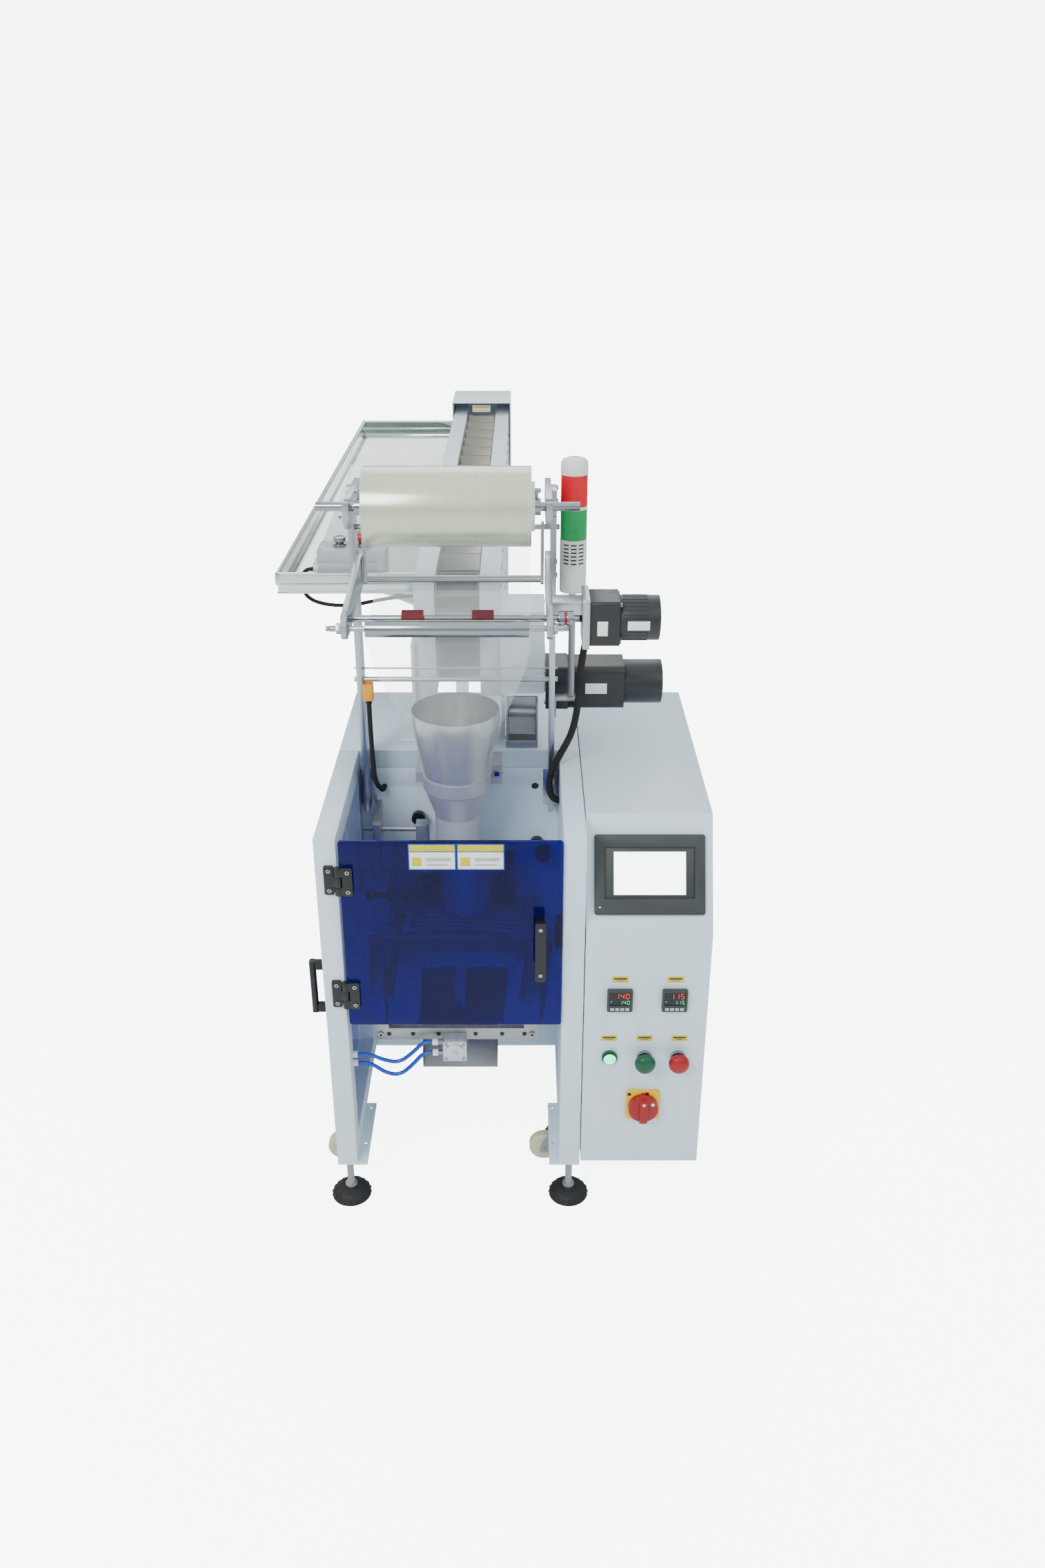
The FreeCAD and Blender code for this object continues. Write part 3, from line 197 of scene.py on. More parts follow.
def acrylic(name, color):
    m = Maker(name, color, 0.03).put(Transmission_Weight=0.93, IOR=1.3, Specular_IOR_Level=0.4)
    m.vary_color(m.noise(2.0), tint(color, 0.92), tint(color, 1.05))
    return m.bump(m.noise(4.0, 1.0), 0.0006, 0.12).mat


def film_material(name, color, clear):
    """Thin clear film: mostly see-through, with a wavy gloss."""
    m = Maker(name, color, 0.07)
    m.put(Alpha=clear, Specular_IOR_Level=0.7, Coat_Weight=0.6, Coat_Roughness=0.04)
    return m.bump(m.noise(5.0, 2.0, (2, 2, 0.6)), 0.006, 0.35).mat


def wound_film(name):
    m = Maker(name, (0.60, 0.66, 0.45), 0.24, 0.42).put(Coat_Weight=0.6, Coat_Roughness=0.1)
    m.vary_color(m.noise(5.0, 5.0, (30, 1.5, 1.5)), (0.57, 0.63, 0.43), (0.64, 0.69, 0.50), 0.2, 0.8)
    m.bump(m.noise(6.0, 2.0, (0.6, 3, 3)), 0.0012, 0.3)
    return m.mat


def roll_end(name):
    """End of the wound film: fine rings about the roll's axis."""
    m = Maker(name, (0.84, 0.83, 0.70), 0.3)
    coord = m.nodes.new("ShaderNodeTexCoord")
    centre = mm(XC, ROLL_Y, ROLL_Z)
    shift = m.nodes.new("ShaderNodeVectorMath")
    shift.operation = "SUBTRACT"
    shift.inputs[1].default_value = centre
    flat = m.nodes.new("ShaderNodeVectorMath")
    flat.operation = "MULTIPLY"
    flat.inputs[1].default_value = (0, 1, 1)
    wave = m.nodes.new("ShaderNodeTexWave")
    wave.wave_type, wave.rings_direction = "RINGS", "SPHERICAL"
    wave.inputs["Scale"].default_value = 130.0
    wave.inputs["Distortion"].default_value = 1.2
    m.links.new(coord.outputs["Object"], shift.inputs[0])
    m.links.new(shift.outputs[0], flat.inputs[0])
    m.links.new(flat.outputs[0], wave.inputs["Vector"])
    m.vary_color(wave.outputs["Fac"], (0.55, 0.50, 0.33), (0.80, 0.78, 0.62))
    return m.bump(wave.outputs["Fac"], 0.0002, 0.5).mat


PALE = powder_coat("pale_powder_coat", (0.66, 0.79, 0.88))
WHITE = powder_coat("white_powder_coat", (0.76, 0.84, 0.90))
STEEL_X = brushed("brushed_steel_x", (0.46, 0.48, 0.49), "X")
STEEL_Z = brushed("brushed_steel_z", (0.54, 0.58, 0.60), "Z")
BUCKET = brushed("bucket_steel", (0.23, 0.22, 0.19), "X", 0.36)
ZINC = brushed("zinc_steel", (0.42, 0.43, 0.44), "Y", 0.46)
DARK_STEEL = brushed("dark_steel", (0.24, 0.25, 0.26), "Z", 0.42)
CHROME = polished("hard_chrome", (0.31, 0.33, 0.35), 0.13)
NECK_STEEL = satin("neck_steel", (0.50, 0.51, 0.54))
MIRROR = polished("mirror_steel", (0.68, 0.76, 0.70), 0.09)
FUNNEL_STEEL = polished("funnel_steel", (0.58, 0.57, 0.52), 0.2)
ALUMINIUM = brushed("anodised_aluminium", (0.70, 0.72, 0.74), "Y", 0.36)
BLACK = plastic("black_plastic", (0.006, 0.006, 0.007), 0.4)
GREY = plastic("grey_plastic", (0.030, 0.036, 0.038), 0.42)
BOX_GREY = plastic("box_grey_plastic", (0.42, 0.46, 0.48), 0.45)
BLACK_PAINT = powder_coat("black_enamel", (0.012, 0.013, 0.015))
RUBBER = rubber("black_rubber", (0.008, 0.008, 0.008))
RED_RUBBER = rubber("red_rubber", (0.11, 0.006, 0.014))
NYLON = plastic("white_nylon", (0.60, 0.62, 0.40), 0.42)
RED = plastic("red_plastic", (0.32, 0.001, 0.003), 0.34)
GREEN = plastic("green_plastic", (0.0, 0.075, 0.03), 0.34)
YELLOW = plastic("yellow_plastic", (0.85, 0.50, 0.0), 0.42)
ORANGE = plastic("orange_plastic", (0.90, 0.38, 0.0), 0.38)
LABEL = plastic("label_yellow", (0.66, 0.55, 0.0), 0.6)
LABEL_WHITE = plastic("label_white", (0.86, 0.87, 0.86), 0.5)
LENS_RED = glow("lens_red", (0.62, 0.0, 0.012), 0.12)
LENS_GREEN = glow("lens_green", (0.0, 0.30, 0.075), 0.12)
WHITE_PLASTIC = plastic("white_plastic", (0.78, 0.79, 0.77), 0.35)
SCREEN = glow("screen_lit", (0.95, 0.98, 1.0), 5.0)
LAMP = glow("lamp_green", (0.02, 0.95, 0.42), 3.0)
DIGIT_RED = glow("digit_red", (1.0, 0.01, 0.005), 1.6)
DIGIT_GREEN = glow("digit_green", (0.0, 0.75, 0.2), 1.3)
ACRYLIC = acrylic("blue_acrylic", (0.0004, 0.0016, 0.30))
FILM = film_material("clear_film", (0.86, 0.92, 0.95), 0.3)
BLUE_TUBE = plastic("blue_air_tube", (0.0, 0.05, 0.42), 0.25)


# ------------------------------------------------------------------ mesh tools
def sharpen(mesh, angle=32.0):
    mesh.polygons.foreach_set("use_smooth", [True] * len(mesh.polygons))
    mesh.set_sharp_from_angle(angle=math.radians(angle))
    mesh.update()


def add_object(name, mesh, body, materials, bevel=0.0):
    obj = bpy.data.objects.new(name, mesh)
    bpy.context.scene.collection.objects.link(obj)
    for material in materials:
        mesh.materials.append(material)
    if bevel:
        modifier = obj.modifiers.new("soft_edges", "BEVEL")
        modifier.width, modifier.segments = bevel, 2
        modifier.limit_method, modifier.angle_limit = "ANGLE", math.radians(40)
        modifier.harden_normals = False
        bpy.context.view_layer.update()
        graph = bpy.context.evaluated_depsgraph_get()
        finished = bpy.data.meshes.new_from_object(obj.evaluated_get(graph))
        obj.modifiers.clear()
        obj.data = finished
    sharpen(obj.data)
    if body:
        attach(obj, body)
    return obj


def body_of(node):
    for body, nodes in frame["record"]["behaviour"]["bodies"].items():
        if node in nodes:
            return body
    return "root"


def dress(node, *rules, bevel=0.0):
    """Copy a CAD node, soften its edges and give its faces materials.

    rules are (material, test of the face centre in machine millimetres); the last one has no test.
    """
    source = frame["nodes"][node]
    mesh = source.data.copy()
    mesh.materials.clear()
    work = bmesh.new()
    work.from_mesh(mesh)
    bmesh.ops.remove_doubles(work, verts=work.verts, dist=1e-6)
    bmesh.ops.dissolve_limit(work, angle_limit=math.radians(0.5), verts=work.verts, edges=work.edges)
    for face in work.faces:
        centre = (face.calc_center_median() - SHIFT) * 1000
        for index, rule in enumerate(rules):
            if len(rule) == 1 or rule[1](centre):
                face.material_index = index
                break
    work.to_mesh(mesh)
    work.free()
    piece = add_object(node + "_piece", mesh, body_of(node), [rule[0] for rule in rules], bevel)
    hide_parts(node)
    return piece


def plain(node, material):
    """Keep the CAD node as it is and change its material."""
    obj = frame["nodes"][node]
    if not obj.material_slots:
        obj.data.materials.append(material)
    for slot in obj.material_slots:
        slot.material = material


class Build:
    """Collects many small solids into one mesh."""

    def __init__(self):
        self.bm = bmesh.new()

    def block(self, x0, x1, y0, y1, z0, z1, index=0, matrix=None):
        low, high = Vector((x0, y0, z0)), Vector((x1, y1, z1))
        made = bmesh.ops.create_cube(self.bm, size=1.0)
        size, centre = high - low, (high + low) / 2
        place = Matrix.Translation(centre) @ Matrix.Diagonal((*size, 1))
        self.settle(made["verts"], place, index, matrix)

    def rod(self, start, end, radius, index=0, sides=24, matrix=None):
        start, end = Vector(start), Vector(end)
        axis = end - start
        made = bmesh.ops.create_cone(self.bm, cap_ends=True, segments=sides, radius1=radius, radius2=radius,
                                     depth=axis.length)
        turn = axis.to_track_quat("Z", "Y").to_matrix().to_4x4()
        self.settle(made["verts"], Matrix.Translation((start + end) / 2) @ turn, index, matrix)

    def settle(self, verts, transform, index, matrix):
        if matrix is not None:
            transform = matrix @ transform
        for vert in verts:
            vert.co = mm(*(transform @ vert.co))
        for vert in verts:
            for face in vert.link_faces:
                face.material_index = index

    def finish(self, name, body, materials, bevel=0.0):
        mesh = bpy.data.meshes.new(name)
        self.bm.to_mesh(mesh)
        self.bm.free()
        return add_object(name, mesh, body, materials, bevel)


# ------------------------------------------------------------------ camera, light and floor
def make_camera():
    camera = bpy.data.objects.new("camera", bpy.data.cameras.new("camera"))
    bpy.context.scene.collection.objects.link(camera)
    camera.location = mm(0, -2050, 1957)
    camera.rotation_euler = (math.radians(90 - 26.03), 0, 0)
    camera.data.lens, camera.data.sensor_width = 30.18, 36.0
    camera.data.clip_end = 50
    bpy.context.scene.camera = camera


def camera_rays_only(nodes, links, strength, target):
    """Give a socket its strength for what the camera sees and nothing for the light it casts."""
    path, scale = nodes.new("ShaderNodeLightPath"), nodes.new("ShaderNodeMath")
    scale.operation = "MULTIPLY"
    scale.inputs[1].default_value = strength
    links.new(path.outputs["Is Camera Ray"], scale.inputs[0])
    links.new(scale.outputs["Value"], target)


def make_world():
    """Light surroundings with darker bands, so that metal shows its shape, behind a white backdrop."""
    world = bpy.data.worlds.new("studio")
    bpy.context.scene.world = world
    world.use_nodes = True
    nodes, links = world.node_tree.nodes, world.node_tree.links
    coord, axes = nodes.new("ShaderNodeTexCoord"), nodes.new("ShaderNodeSeparateXYZ")
    links.new(coord.outputs["Generated"], axes.inputs["Vector"])
    shades = []
    height = ((0.0, 0.30), (0.46, 0.22), (0.56, 0.42), (0.70, 1.0), (1.0, 1.15))
    across = ((0.0, 1.0), (0.16, 0.25), (0.32, 1.0), (0.66, 1.0), (0.84, 0.20), (1.0, 0.8))
    for axis, stops in (("Z", height), ("X", across)):
        spread, ramp = nodes.new("ShaderNodeMapRange"), nodes.new("ShaderNodeValToRGB")
        spread.inputs["From Min"].default_value = -1.0
        links.new(axes.outputs[axis], spread.inputs["Value"])
        links.new(spread.outputs["Result"], ramp.inputs["Fac"])
        while len(ramp.color_ramp.elements) < len(stops):
            ramp.color_ramp.elements.new(0.5)
        for element, (place, shade) in zip(ramp.color_ramp.elements, stops):
            element.position, element.color = place, (shade * 0.96, shade * 0.99, shade, 1)
        shades.append(ramp.outputs["Color"])
    both = nodes.new("ShaderNodeVectorMath")
    both.operation = "MULTIPLY"
    links.new(shades[0], both.inputs[0])
    links.new(shades[1], both.inputs[1])
    lit = nodes["Background"]
    links.new(both.outputs["Vector"], lit.inputs["Color"])
    lit.inputs["Strength"].default_value = 1.5
    seen, join = nodes.new("ShaderNodeBackground"), nodes.new("ShaderNodeAddShader")
    camera_rays_only(nodes, links, 8.0, seen.inputs["Strength"])
    links.new(lit.outputs["Background"], join.inputs[0])
    links.new(seen.outputs["Background"], join.inputs[1])
    links.new(join.outputs["Shader"], nodes["World Output"].inputs["Surface"])


def make_stage():
    mesh = bpy.data.meshes.new("studio_floor")
    half = 60.0
    corners = [(-half, -half, 0), (half, -half, 0), (half, half, 0), (-half, half, 0)]
    mesh.from_pydata(corners, [], [(0, 1, 2, 3)])
    floor = bpy.data.objects.new("studio_floor", mesh)
    bpy.context.scene.collection.objects.link(floor)
    paint = Maker("studio_white", (0.93, 0.94, 0.95), 0.9)
    paint.put(Emission_Color=(0.98, 0.99, 1.0, 1))
    camera_rays_only(paint.nodes, paint.links, 6.5, paint.bsdf.inputs["Emission Strength"])
    mesh.materials.append(paint.mat)
    make_world()

    lights = ((mm(-1900, -2400, 3300), 95, 1.6), (mm(2700, -1800, 3000), 34, 2.2),
              (mm(0, 3600, 3600), 40, 3.0))
    for index, (place, power, size) in enumerate(lights):
        data = bpy.data.lights.new(f"softbox_{index}", "AREA")
        data.energy, data.size = power, size
        lamp = bpy.data.objects.new(f"softbox_{index}", data)
        bpy.context.scene.collection.objects.link(lamp)
        lamp.location = place
        lamp.rotation_euler = (mm(-20, 500, 700) - place).to_track_quat("-Z", "Y").to_euler()


make_camera()
make_stage()


# ------------------------------------------------------------------ cords
def cord_line(points):
    """The cord's own smooth line as a poly line, read from its NURBS spline."""
    curve = bpy.data.curves.new("cord_line", "CURVE")
    curve.dimensions = "3D"
    spline = curve.splines.new("NURBS")
    spline.points.add(len(points) - 1)
    for slot, point in zip(spline.points, points):
        slot.co = (*mm(*point), 1)
    spline.order_u = 3
    spline.use_endpoint_u = True
    curve.resolution_u = 16
    holder = bpy.data.objects.new("cord_line", curve)
    mesh = bpy.data.meshes.new_from_object(holder)
    line = [v.co.copy() for v in mesh.vertices]
    bpy.data.objects.remove(holder)
    return line


def make_cord(node, points, radius_mm, material, ridge_mm=0.0, pitch_mm=3.2):
    """Tube along the route; a ridge gives the rings of corrugated conduit."""
    line = cord_line(points)
    lengths = [0.0]
    for a, b in zip(line, line[1:]):
        lengths.append(lengths[-1] + (b - a).length)
    total = lengths[-1]
    step = (pitch_mm / 4000) if ridge_mm else 0.003
    count = max(12, int(total / step))
    sides = 14
    verts, faces = [], []
    normal = None
    samples = []
    segment = 0
    for i in range(count + 1):
        at = total * i / count
        while segment < len(lengths) - 2 and lengths[segment + 1] < at:
            segment += 1
        span = max(lengths[segment + 1] - lengths[segment], 1e-9)
        samples.append(line[segment].lerp(line[segment + 1], (at - lengths[segment]) / span))
    for i, point in enumerate(samples):
        ahead = samples[min(i + 1, count)] - samples[max(i - 1, 0)]
        ahead.normalize()
        if normal is None:
            normal = ahead.orthogonal().normalized()
        normal = (normal - ahead * normal.dot(ahead)).normalized()
        side = ahead.cross(normal)
        radius = radius_mm - (ridge_mm if ridge_mm and i % 4 in (0, 1) else 0.0)
        for k in range(sides):
            angle = 2 * math.pi * k / sides
            verts.append(point + (normal * math.cos(angle) + side * math.sin(angle)) * radius / 1000)
    for i in range(count):
        for k in range(sides):
            a, b = i * sides + k, i * sides + (k + 1) % sides
            faces.append((a, b, b + sides, a + sides))
    faces.append(tuple(reversed(range(sides))))
    faces.append(tuple(range(count * sides, (count + 1) * sides)))
    mesh = bpy.data.meshes.new(node + "_piece")
    mesh.from_pydata(verts, [], faces)
    piece = add_object(node + "_piece", mesh, "root", [material])
    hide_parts(node)


def air_route(z0, drop):
    z1 = 350.0 if z0 > CYLINDER_Z else 330.0
    return [(-176, 38, z0), (-194, 38, z0), (-214, 36, z0 - drop * 0.5), (-242, 33, z0 - drop),
            (-272, 32, z0 - drop * 0.85), (-298, 33, z1), (-323, 33, z1)]


make_cord("sensor_cable",
          [(-301, 335, 968), (-301, 335, 905), (-299, 332, 842), (-298, 341, 794), (-287, 358, 768),
           (-284.5, 370, 764), (-284.5, 386, 764)], 5.0, RUBBER, 0.8)
make_cord("main_conduit",
          [(140, 178, 1210), (140, 214, 1210), (131, 254, 1176), (119, 284, 1122), (110, 299, 1052),
           (108, 306, 978), (98, 309, 918), (77, 311, 874), (60, 314, 838), (53, 316, 808), (54, 317, 787),
           (60, 317, 771), (69, 317, 765), (78, 317, 764)], 7.0, RUBBER, 1.0)
make_cord("tray_cable",
          [(-434, 602, 1160), (-447, 602, 1160), (-458, 602, 1149), (-461, 602, 1130), (-459, 602, 1110),
           (-445, 602, 1093), (-418, 600, 1084), (-384, 598, 1081), (-348, 600, 1083), (-312, 606, 1089),
           (-276, 611, 1094), (-245, 613, 1097), (RAIL_LEFT, 613, 1097)], 4.0, RUBBER)
make_cord("upper_air_tube", air_route(CYLINDER_Z + 13, 46), 4.0, BLUE_TUBE)
make_cord("lower_air_tube", air_route(CYLINDER_Z - 12, 52), 4.0, BLUE_TUBE)


# ------------------------------------------------------------------ machine body
def body_panels():
    for node in ("left_side_frame", "right_side_frame", "recess_back_wall", "top_plate", "rear_covers",
                 "control_cabinet"):
        dress(node, (PALE,), bevel=0.0012)
    dress("base_plates", (ZINC, lambda c: c.z < 98.5), (PALE,), bevel=0.0006)
    screws = Build()
    for x in (-353.0, 94.5):
        for z in (125.0, 470.0, 820.0):
            screws.rod((x, 696, z), (x, 698, z), 5.5, sides=20)
    screws.finish("rear_cover_screws", "root", [ZINC], 0.0004)


def louvres():
    """Cooling slots pressed into the rear cover of the cabinet."""
    slats = Build()
    for i in range(9):
        z = 560.0 + 16 * i
        slats.block(170, 300, 696, 700, z, z + 5)
    slats.finish("rear_louvres", "root", [PALE], 0.0015)


def feet_and_casters():
    dress("leveling_feet", (RUBBER, lambda c: c.z < 22.5), (ZINC,), bevel=0.0008)
    for side in ("left", "right"):
        plain(f"caster_fork_{side}", ZINC)
        dress(f"caster_wheel_{side}", (NYLON,), bevel=0.0012)
        dress(f"rear_wheel_{side}", (NYLON,), bevel=0.0012)
    ribs = Build()
    for x in (-353.0, 94.5):
        for y in (27.0, 669.0):
            for k in range(20):
                angle = 2 * math.pi * k / 20
                ux, uy = math.cos(angle), math.sin(angle)
                ribs.rod((x + 35 * ux, y + 35 * uy, 13), (x + 40.5 * ux, y + 40.5 * uy, 4), 1.6, sides=8)
    ribs.finish("foot_grip_ribs", "root", [RUBBER])


# ------------------------------------------------------------------ control cabinet
SLOPE_ANGLE = math.atan2(BODY_TOP - SLOPE_Z, SLOPE_DEPTH)
SLOPE = Matrix.Translation((0, 0, SLOPE_Z)) @ Matrix.Rotation(SLOPE_ANGLE, 4, "X")
HMI_X, HMI_U = 234.0, 111.8
SEGMENTS = {"0": "abcdef", "1": "bc", "2": "abged", "3": "abgcd", "4": "fgbc", "5": "afgcd", "6": "afgedc",
            "7": "abc", "8": "abcdefg", "9": "abcfgd"}


def digit(build, text, x, z, width, height, y):
    """Seven-segment numbers drawn with small bars."""
    bar = width * 0.17
    places = {"a": (0, height / 2, True), "g": (0, 0, True), "d": (0, -height / 2, True),
              "f": (-width / 2, height / 4, False), "b": (width / 2, height / 4, False),
              "e": (-width / 2, -height / 4, False), "c": (width / 2, -height / 4, False)}
    for position, letter in enumerate(text):
        centre_x = x + position * width * 1.75
        for segment in SEGMENTS[letter]:
            dx, dz, flat = places[segment]
            half_x, half_z = (width * 0.42, bar / 2) if flat else (bar / 2, height * 0.2)
            mid_x, mid_z = centre_x + dx, z + dz
            build.block(mid_x - half_x, mid_x + half_x, y - 0.3, y, mid_z - half_z, mid_z + half_z)


def operator_panel():
    dress("hmi_panel", (GREY,), bevel=0.001)
    lit = Build()
    lit.block(HMI_X - 66, HMI_X + 66, HMI_U - 37, HMI_U + 42, 5.8, 6.3, matrix=SLOPE)
    lit.finish("hmi_lit_area", "root", [SCREEN])
    trim = Build()
    for x0, x1, u0, u1 in ((-83, 83, 49, 50), (-83, 83, -44, -43), (-83, -82, -44, 50), (82, 83, -44, 50)):
        trim.block(HMI_X + x0, HMI_X + x1, HMI_U + u0, HMI_U + u1, 5.8, 7.2, 0, SLOPE)
    trim.rod((HMI_X + 93, HMI_U + 66, 6.9), (HMI_X + 93, HMI_U + 66, 7.6), 2.6, 1, matrix=SLOPE)
    trim.rod((HMI_X - 92, HMI_U - 60, 6.9), (HMI_X - 92, HMI_U - 60, 7.6), 1.4, 2, matrix=SLOPE)
    trim.finish("hmi_trim", "root", [BLACK, GREY, LAMP])

    dress("temperature_controllers", (GREY,), bevel=0.0006)
    faces, red, green = Build(), Build(), Build()
    for x, high, low in ((183.6, "140", "140"), (287.0, "115", "115")):
        z = 504.0
        faces.block(x - 20, x + 20, -7.0, -6.5, z - 10, z + 20, 0)
        for k in range(4):
            faces.block(x - 18 + k * 9.4, x - 10.8 + k * 9.4, -9.2, -8, z - 20.5, z - 14.5, 1)
        digit(red, high, x - 5.5, z + 11.2, 5.6, 11.0, -7.0)
        digit(green, low, x + 2.0, z - 3.0, 4.0, 8.0, -7.0)
        green.rod((x - 16.5, -7.3, z - 1), (x - 16.5, -7.0, z - 1), 1.0)
    faces.finish("controller_faces", "root", [BLACK, BOX_GREY], 0.0003)
    red.finish("controller_red_digits", "root", [DIGIT_RED])
    green.finish("controller_green_digits", "root", [DIGIT_GREEN])

    labels = Build()
    for x, z in ((183.6, 549), (287, 549), (166, 414), (234, 414), (301, 414)):
        labels.block(x - 15.5, x + 15.5, -0.5, 0, z - 6.5, z + 6.5, 0)
        labels.block(x - 12, x + 12, -0.8, -0.5, z - 0.4, z + 3.2, 1)
        labels.block(x - 7, x + 7, -0.8, -0.5, z - 3.8, z - 2.8, 1)
    labels.finish("name_strips", "root", [LABEL, GREY])


def push_buttons():
    def is_lens(c):
        return c.x < 200 and c.y < -8.9

    dress("panel_bezels", (LAMP, is_lens), (YELLOW, lambda c: c.z < 300), (GREEN, lambda c: c.x < 200),
          (CHROME,), bevel=0.0008)
    for node, material in (("start_button", GREEN), ("emergency_stop", RED)):
        dress(node, (CHROME, lambda c: c.y > -15), (material,), bevel=0.001)
    dress("main_switch_handle", (RED,), bevel=0.0015)
    marks = Build()
    marks.block(205, 212, -8.6, -8, 282, 288, 0)
    marks.block(234, 236.6, -8.6, -8, 280, 289, 0)
    marks.block(239, 247, -8.6, -8, 280, 289, 0)
    marks.finish("switch_marks", "root", [BLACK])
    pin = Build()
    pin.rod((236, -32.6, 277), (236, -31.5, 277), 3.0, 0)
    pin.rod((254, -24.8, 272), (254, -23.6, 272), 3.5, 0)
    pin.finish("switch_handle_marks", "main_switch", [LABEL_WHITE])


def cabinet_inside():
    dress("electrical_panel", (ZINC, lambda c: c.x > 335.5), (BOX_GREY,), bevel=0.0008)


# ------------------------------------------------------------------ guards
def guards():
    def is_panel(c):
        return -329 < c.x < 74 and (c.y > -5.9 or (c.y > -6.5 and c.x > -304 and not 24 < c.x < 42))

    dress("guard_door", (ACRYLIC, is_panel), (BLACK,), bevel=0.0006)
    dress("side_guard", (ACRYLIC, lambda c: c.x > -372.5 and c.x < -366), (BLACK,), bevel=0.0006)
    dress("door_hinges", (BLACK,), bevel=0.001)
    screws_door, screws_post = Build(), Build()
    for z in HINGE_Z:
        for dz in (-20, 20):
            for build, x, y in ((screws_door, -313.5, -12), (screws_post, -348, -6)):
                build.rod((x, y - 1.6, z + dz), (x, y + 0.3, z + dz), 4.2, 0, sides=24)
                build.rod((x, y - 1.75, z + dz), (x, y - 1.5, z + dz), 2.0, 1, sides=6)
    screws_door.finish("door_hinge_screws", "guard_door", [CHROME, BLACK], 0.0004)
    screws_post.finish("pillar_hinge_screws", "root", [CHROME, BLACK], 0.0004)

    plates = Build()
    for x0 in (-203.5, -117.0):
        plates.block(x0, x0 + 85, -6.6, -6.0, 788, 841, 0)
        plates.block(x0 + 2, x0 + 83, -6.9, -6.6, 826, 839, 1)
        plates.block(x0 + 2, x0 + 83, -6.9, -6.6, 790, 824, 2)
        plates.block(x0 + 6, x0 + 24, -7.1, -6.9, 796, 814, 1)
        plates.block(x0 + 32, x0 + 76, -7.1, -6.9, 806, 813, 3)
        plates.block(x0 + 32, x0 + 70, -7.1, -6.9, 797, 800, 3)
    plates.finish("door_notice_plates", "guard_door", [BLUE_TUBE, LABEL, LABEL_WHITE, BOX_GREY], 0.0002)
    pull = Build()
    pull.rod((33, -41, 682), (33, -39.6, 682), 4, 0)
    pull.rod((33, -41, 584), (33, -39.6, 584), 4, 0)
    pull.finish("door_pull_screws", "guard_door", [CHROME], 0.0003)


# ------------------------------------------------------------------ film stand
def film_stand():
    def is_sensor(c):
        return -311.1 < c.x < -290.9 and 321 < c.y < 345 and 966 < c.z < 1010.5

    def is_post(c):
        return c.y > 300 and (c.x < -300 or c.x > 41) and (c.z > 1045 or c.z < 1010) and not is_sensor(c)

    dress("film_stand", (ORANGE, lambda c: is_sensor(c) and c.z > 985), (BLACK, is_sensor),
          (STEEL_Z, is_post), (STEEL_X,), bevel=0.0007)
    dress("dancer_frame", (STEEL_X,), bevel=0.0005)
    dress("front_roller", (CHROME,), bevel=0.0008)
    dress("feed_roller",
          (RED_RUBBER, lambda c: -215 < c.x < -45 and math.hypot(c.y - FEED_Y, c.z - FEED_Z) > 6.5),
          (RED, lambda c: 73.1 < c.x < 76.9), (CHROME,), bevel=0.0004)
    bolts = Build()
    for x0, x1 in ((-324.5, -322), (63, 65.5)):
        for y, z in ((345, 1365), (366, 1385), (345, 1225), (366, 1245), (355, 745), (355, 785)):
            bolts.rod((x0, y, z), (x1, y, z), 5, 0, sides=20)
            socket = x0 - 0.3 if x0 < 0 else x1
            bolts.rod((socket, y, z), (x0 if x0 < 0 else x1 + 0.3, y, z), 2.4, 1, sides=6)
    for x in (-315, 56):
        bolts.rod((x, 188.8, 1375), (x, 190.2, 1375), 3, 0)
    for x0, x1, side in ((-338, -330, -1), (71, 79, 1)):
        bolts.rod((x0, 96, 1206), (x1, 96, 1206), 4.6, 0)
    bolts.finish("film_stand_bolts", "root", [CHROME, BLACK], 0.0004)
    threads = Build()
    for i in range(9):
        x = -330 + i * 1.6
        threads.rod((x, 96, 1206), (x + 0.8, 96, 1206), 5.3, 0)
    threads.finish("roller_axle_threads", "root", [ZINC])


def film_roll():
    def on_end(c):
        return abs(c.x - XC) > 144.6

    dress("film_roll", (roll_end("film_roll_end"), on_end), (wound_film("wound_film"),), bevel=0.0008)
    def is_core(c):
        return math.hypot(c.y - ROLL_Y, c.z - ROLL_Z) > 38.2 and -275 < c.x < 22

    dress("roll_shaft", (LABEL_WHITE, is_core), (CHROME,), bevel=0.0005)
    edge = Build()
    for x in (-274.3, 11.0, 15.2):
        edge.rod((x - 0.25, ROLL_Y, ROLL_Z), (x + 0.25, ROLL_Y, ROLL_Z), ROLL_R + 0.35, 0, sides=96)
    edge.finish("film_edge_lines", "film_roll", [LABEL_WHITE])


def ribbon(name, path, x0, x1, body, waves=0.0, columns=40):
    """Thin film following a (y, z) path, with a slight cross wave."""
    verts, faces = [], []
    for j, (y, z) in enumerate(path):
        for i in range(columns + 1):
            share = i / columns
            wobble = waves * math.sin(9.0 * share + 0.35 * j) * math.sin(math.pi * share)
            verts.append(mm(x0 + (x1 - x0) * share, y + wobble, z + 0.4 * wobble))
    for j in range(len(path) - 1):
        for i in range(columns):
            a = j * (columns + 1) + i
            faces.append((a, a + 1, a + columns + 2, a + columns + 1))
    mesh = bpy.data.meshes.new(name)
    mesh.from_pydata(verts, [], faces)
    obj = add_object(name, mesh, body, [FILM])
    return obj


def between(a, b, steps):
    return [(a[0] + (b[0] - a[0]) * i / steps, a[1] + (b[1] - a[1]) * i / steps) for i in range(steps + 1)]


def round_rod(y, z, radius, start, end, steps):
    angles = [math.radians(start + (end - start) * i / steps) for i in range(steps + 1)]
    return [(y + radius * math.cos(a), z + radius * math.sin(a)) for a in angles]


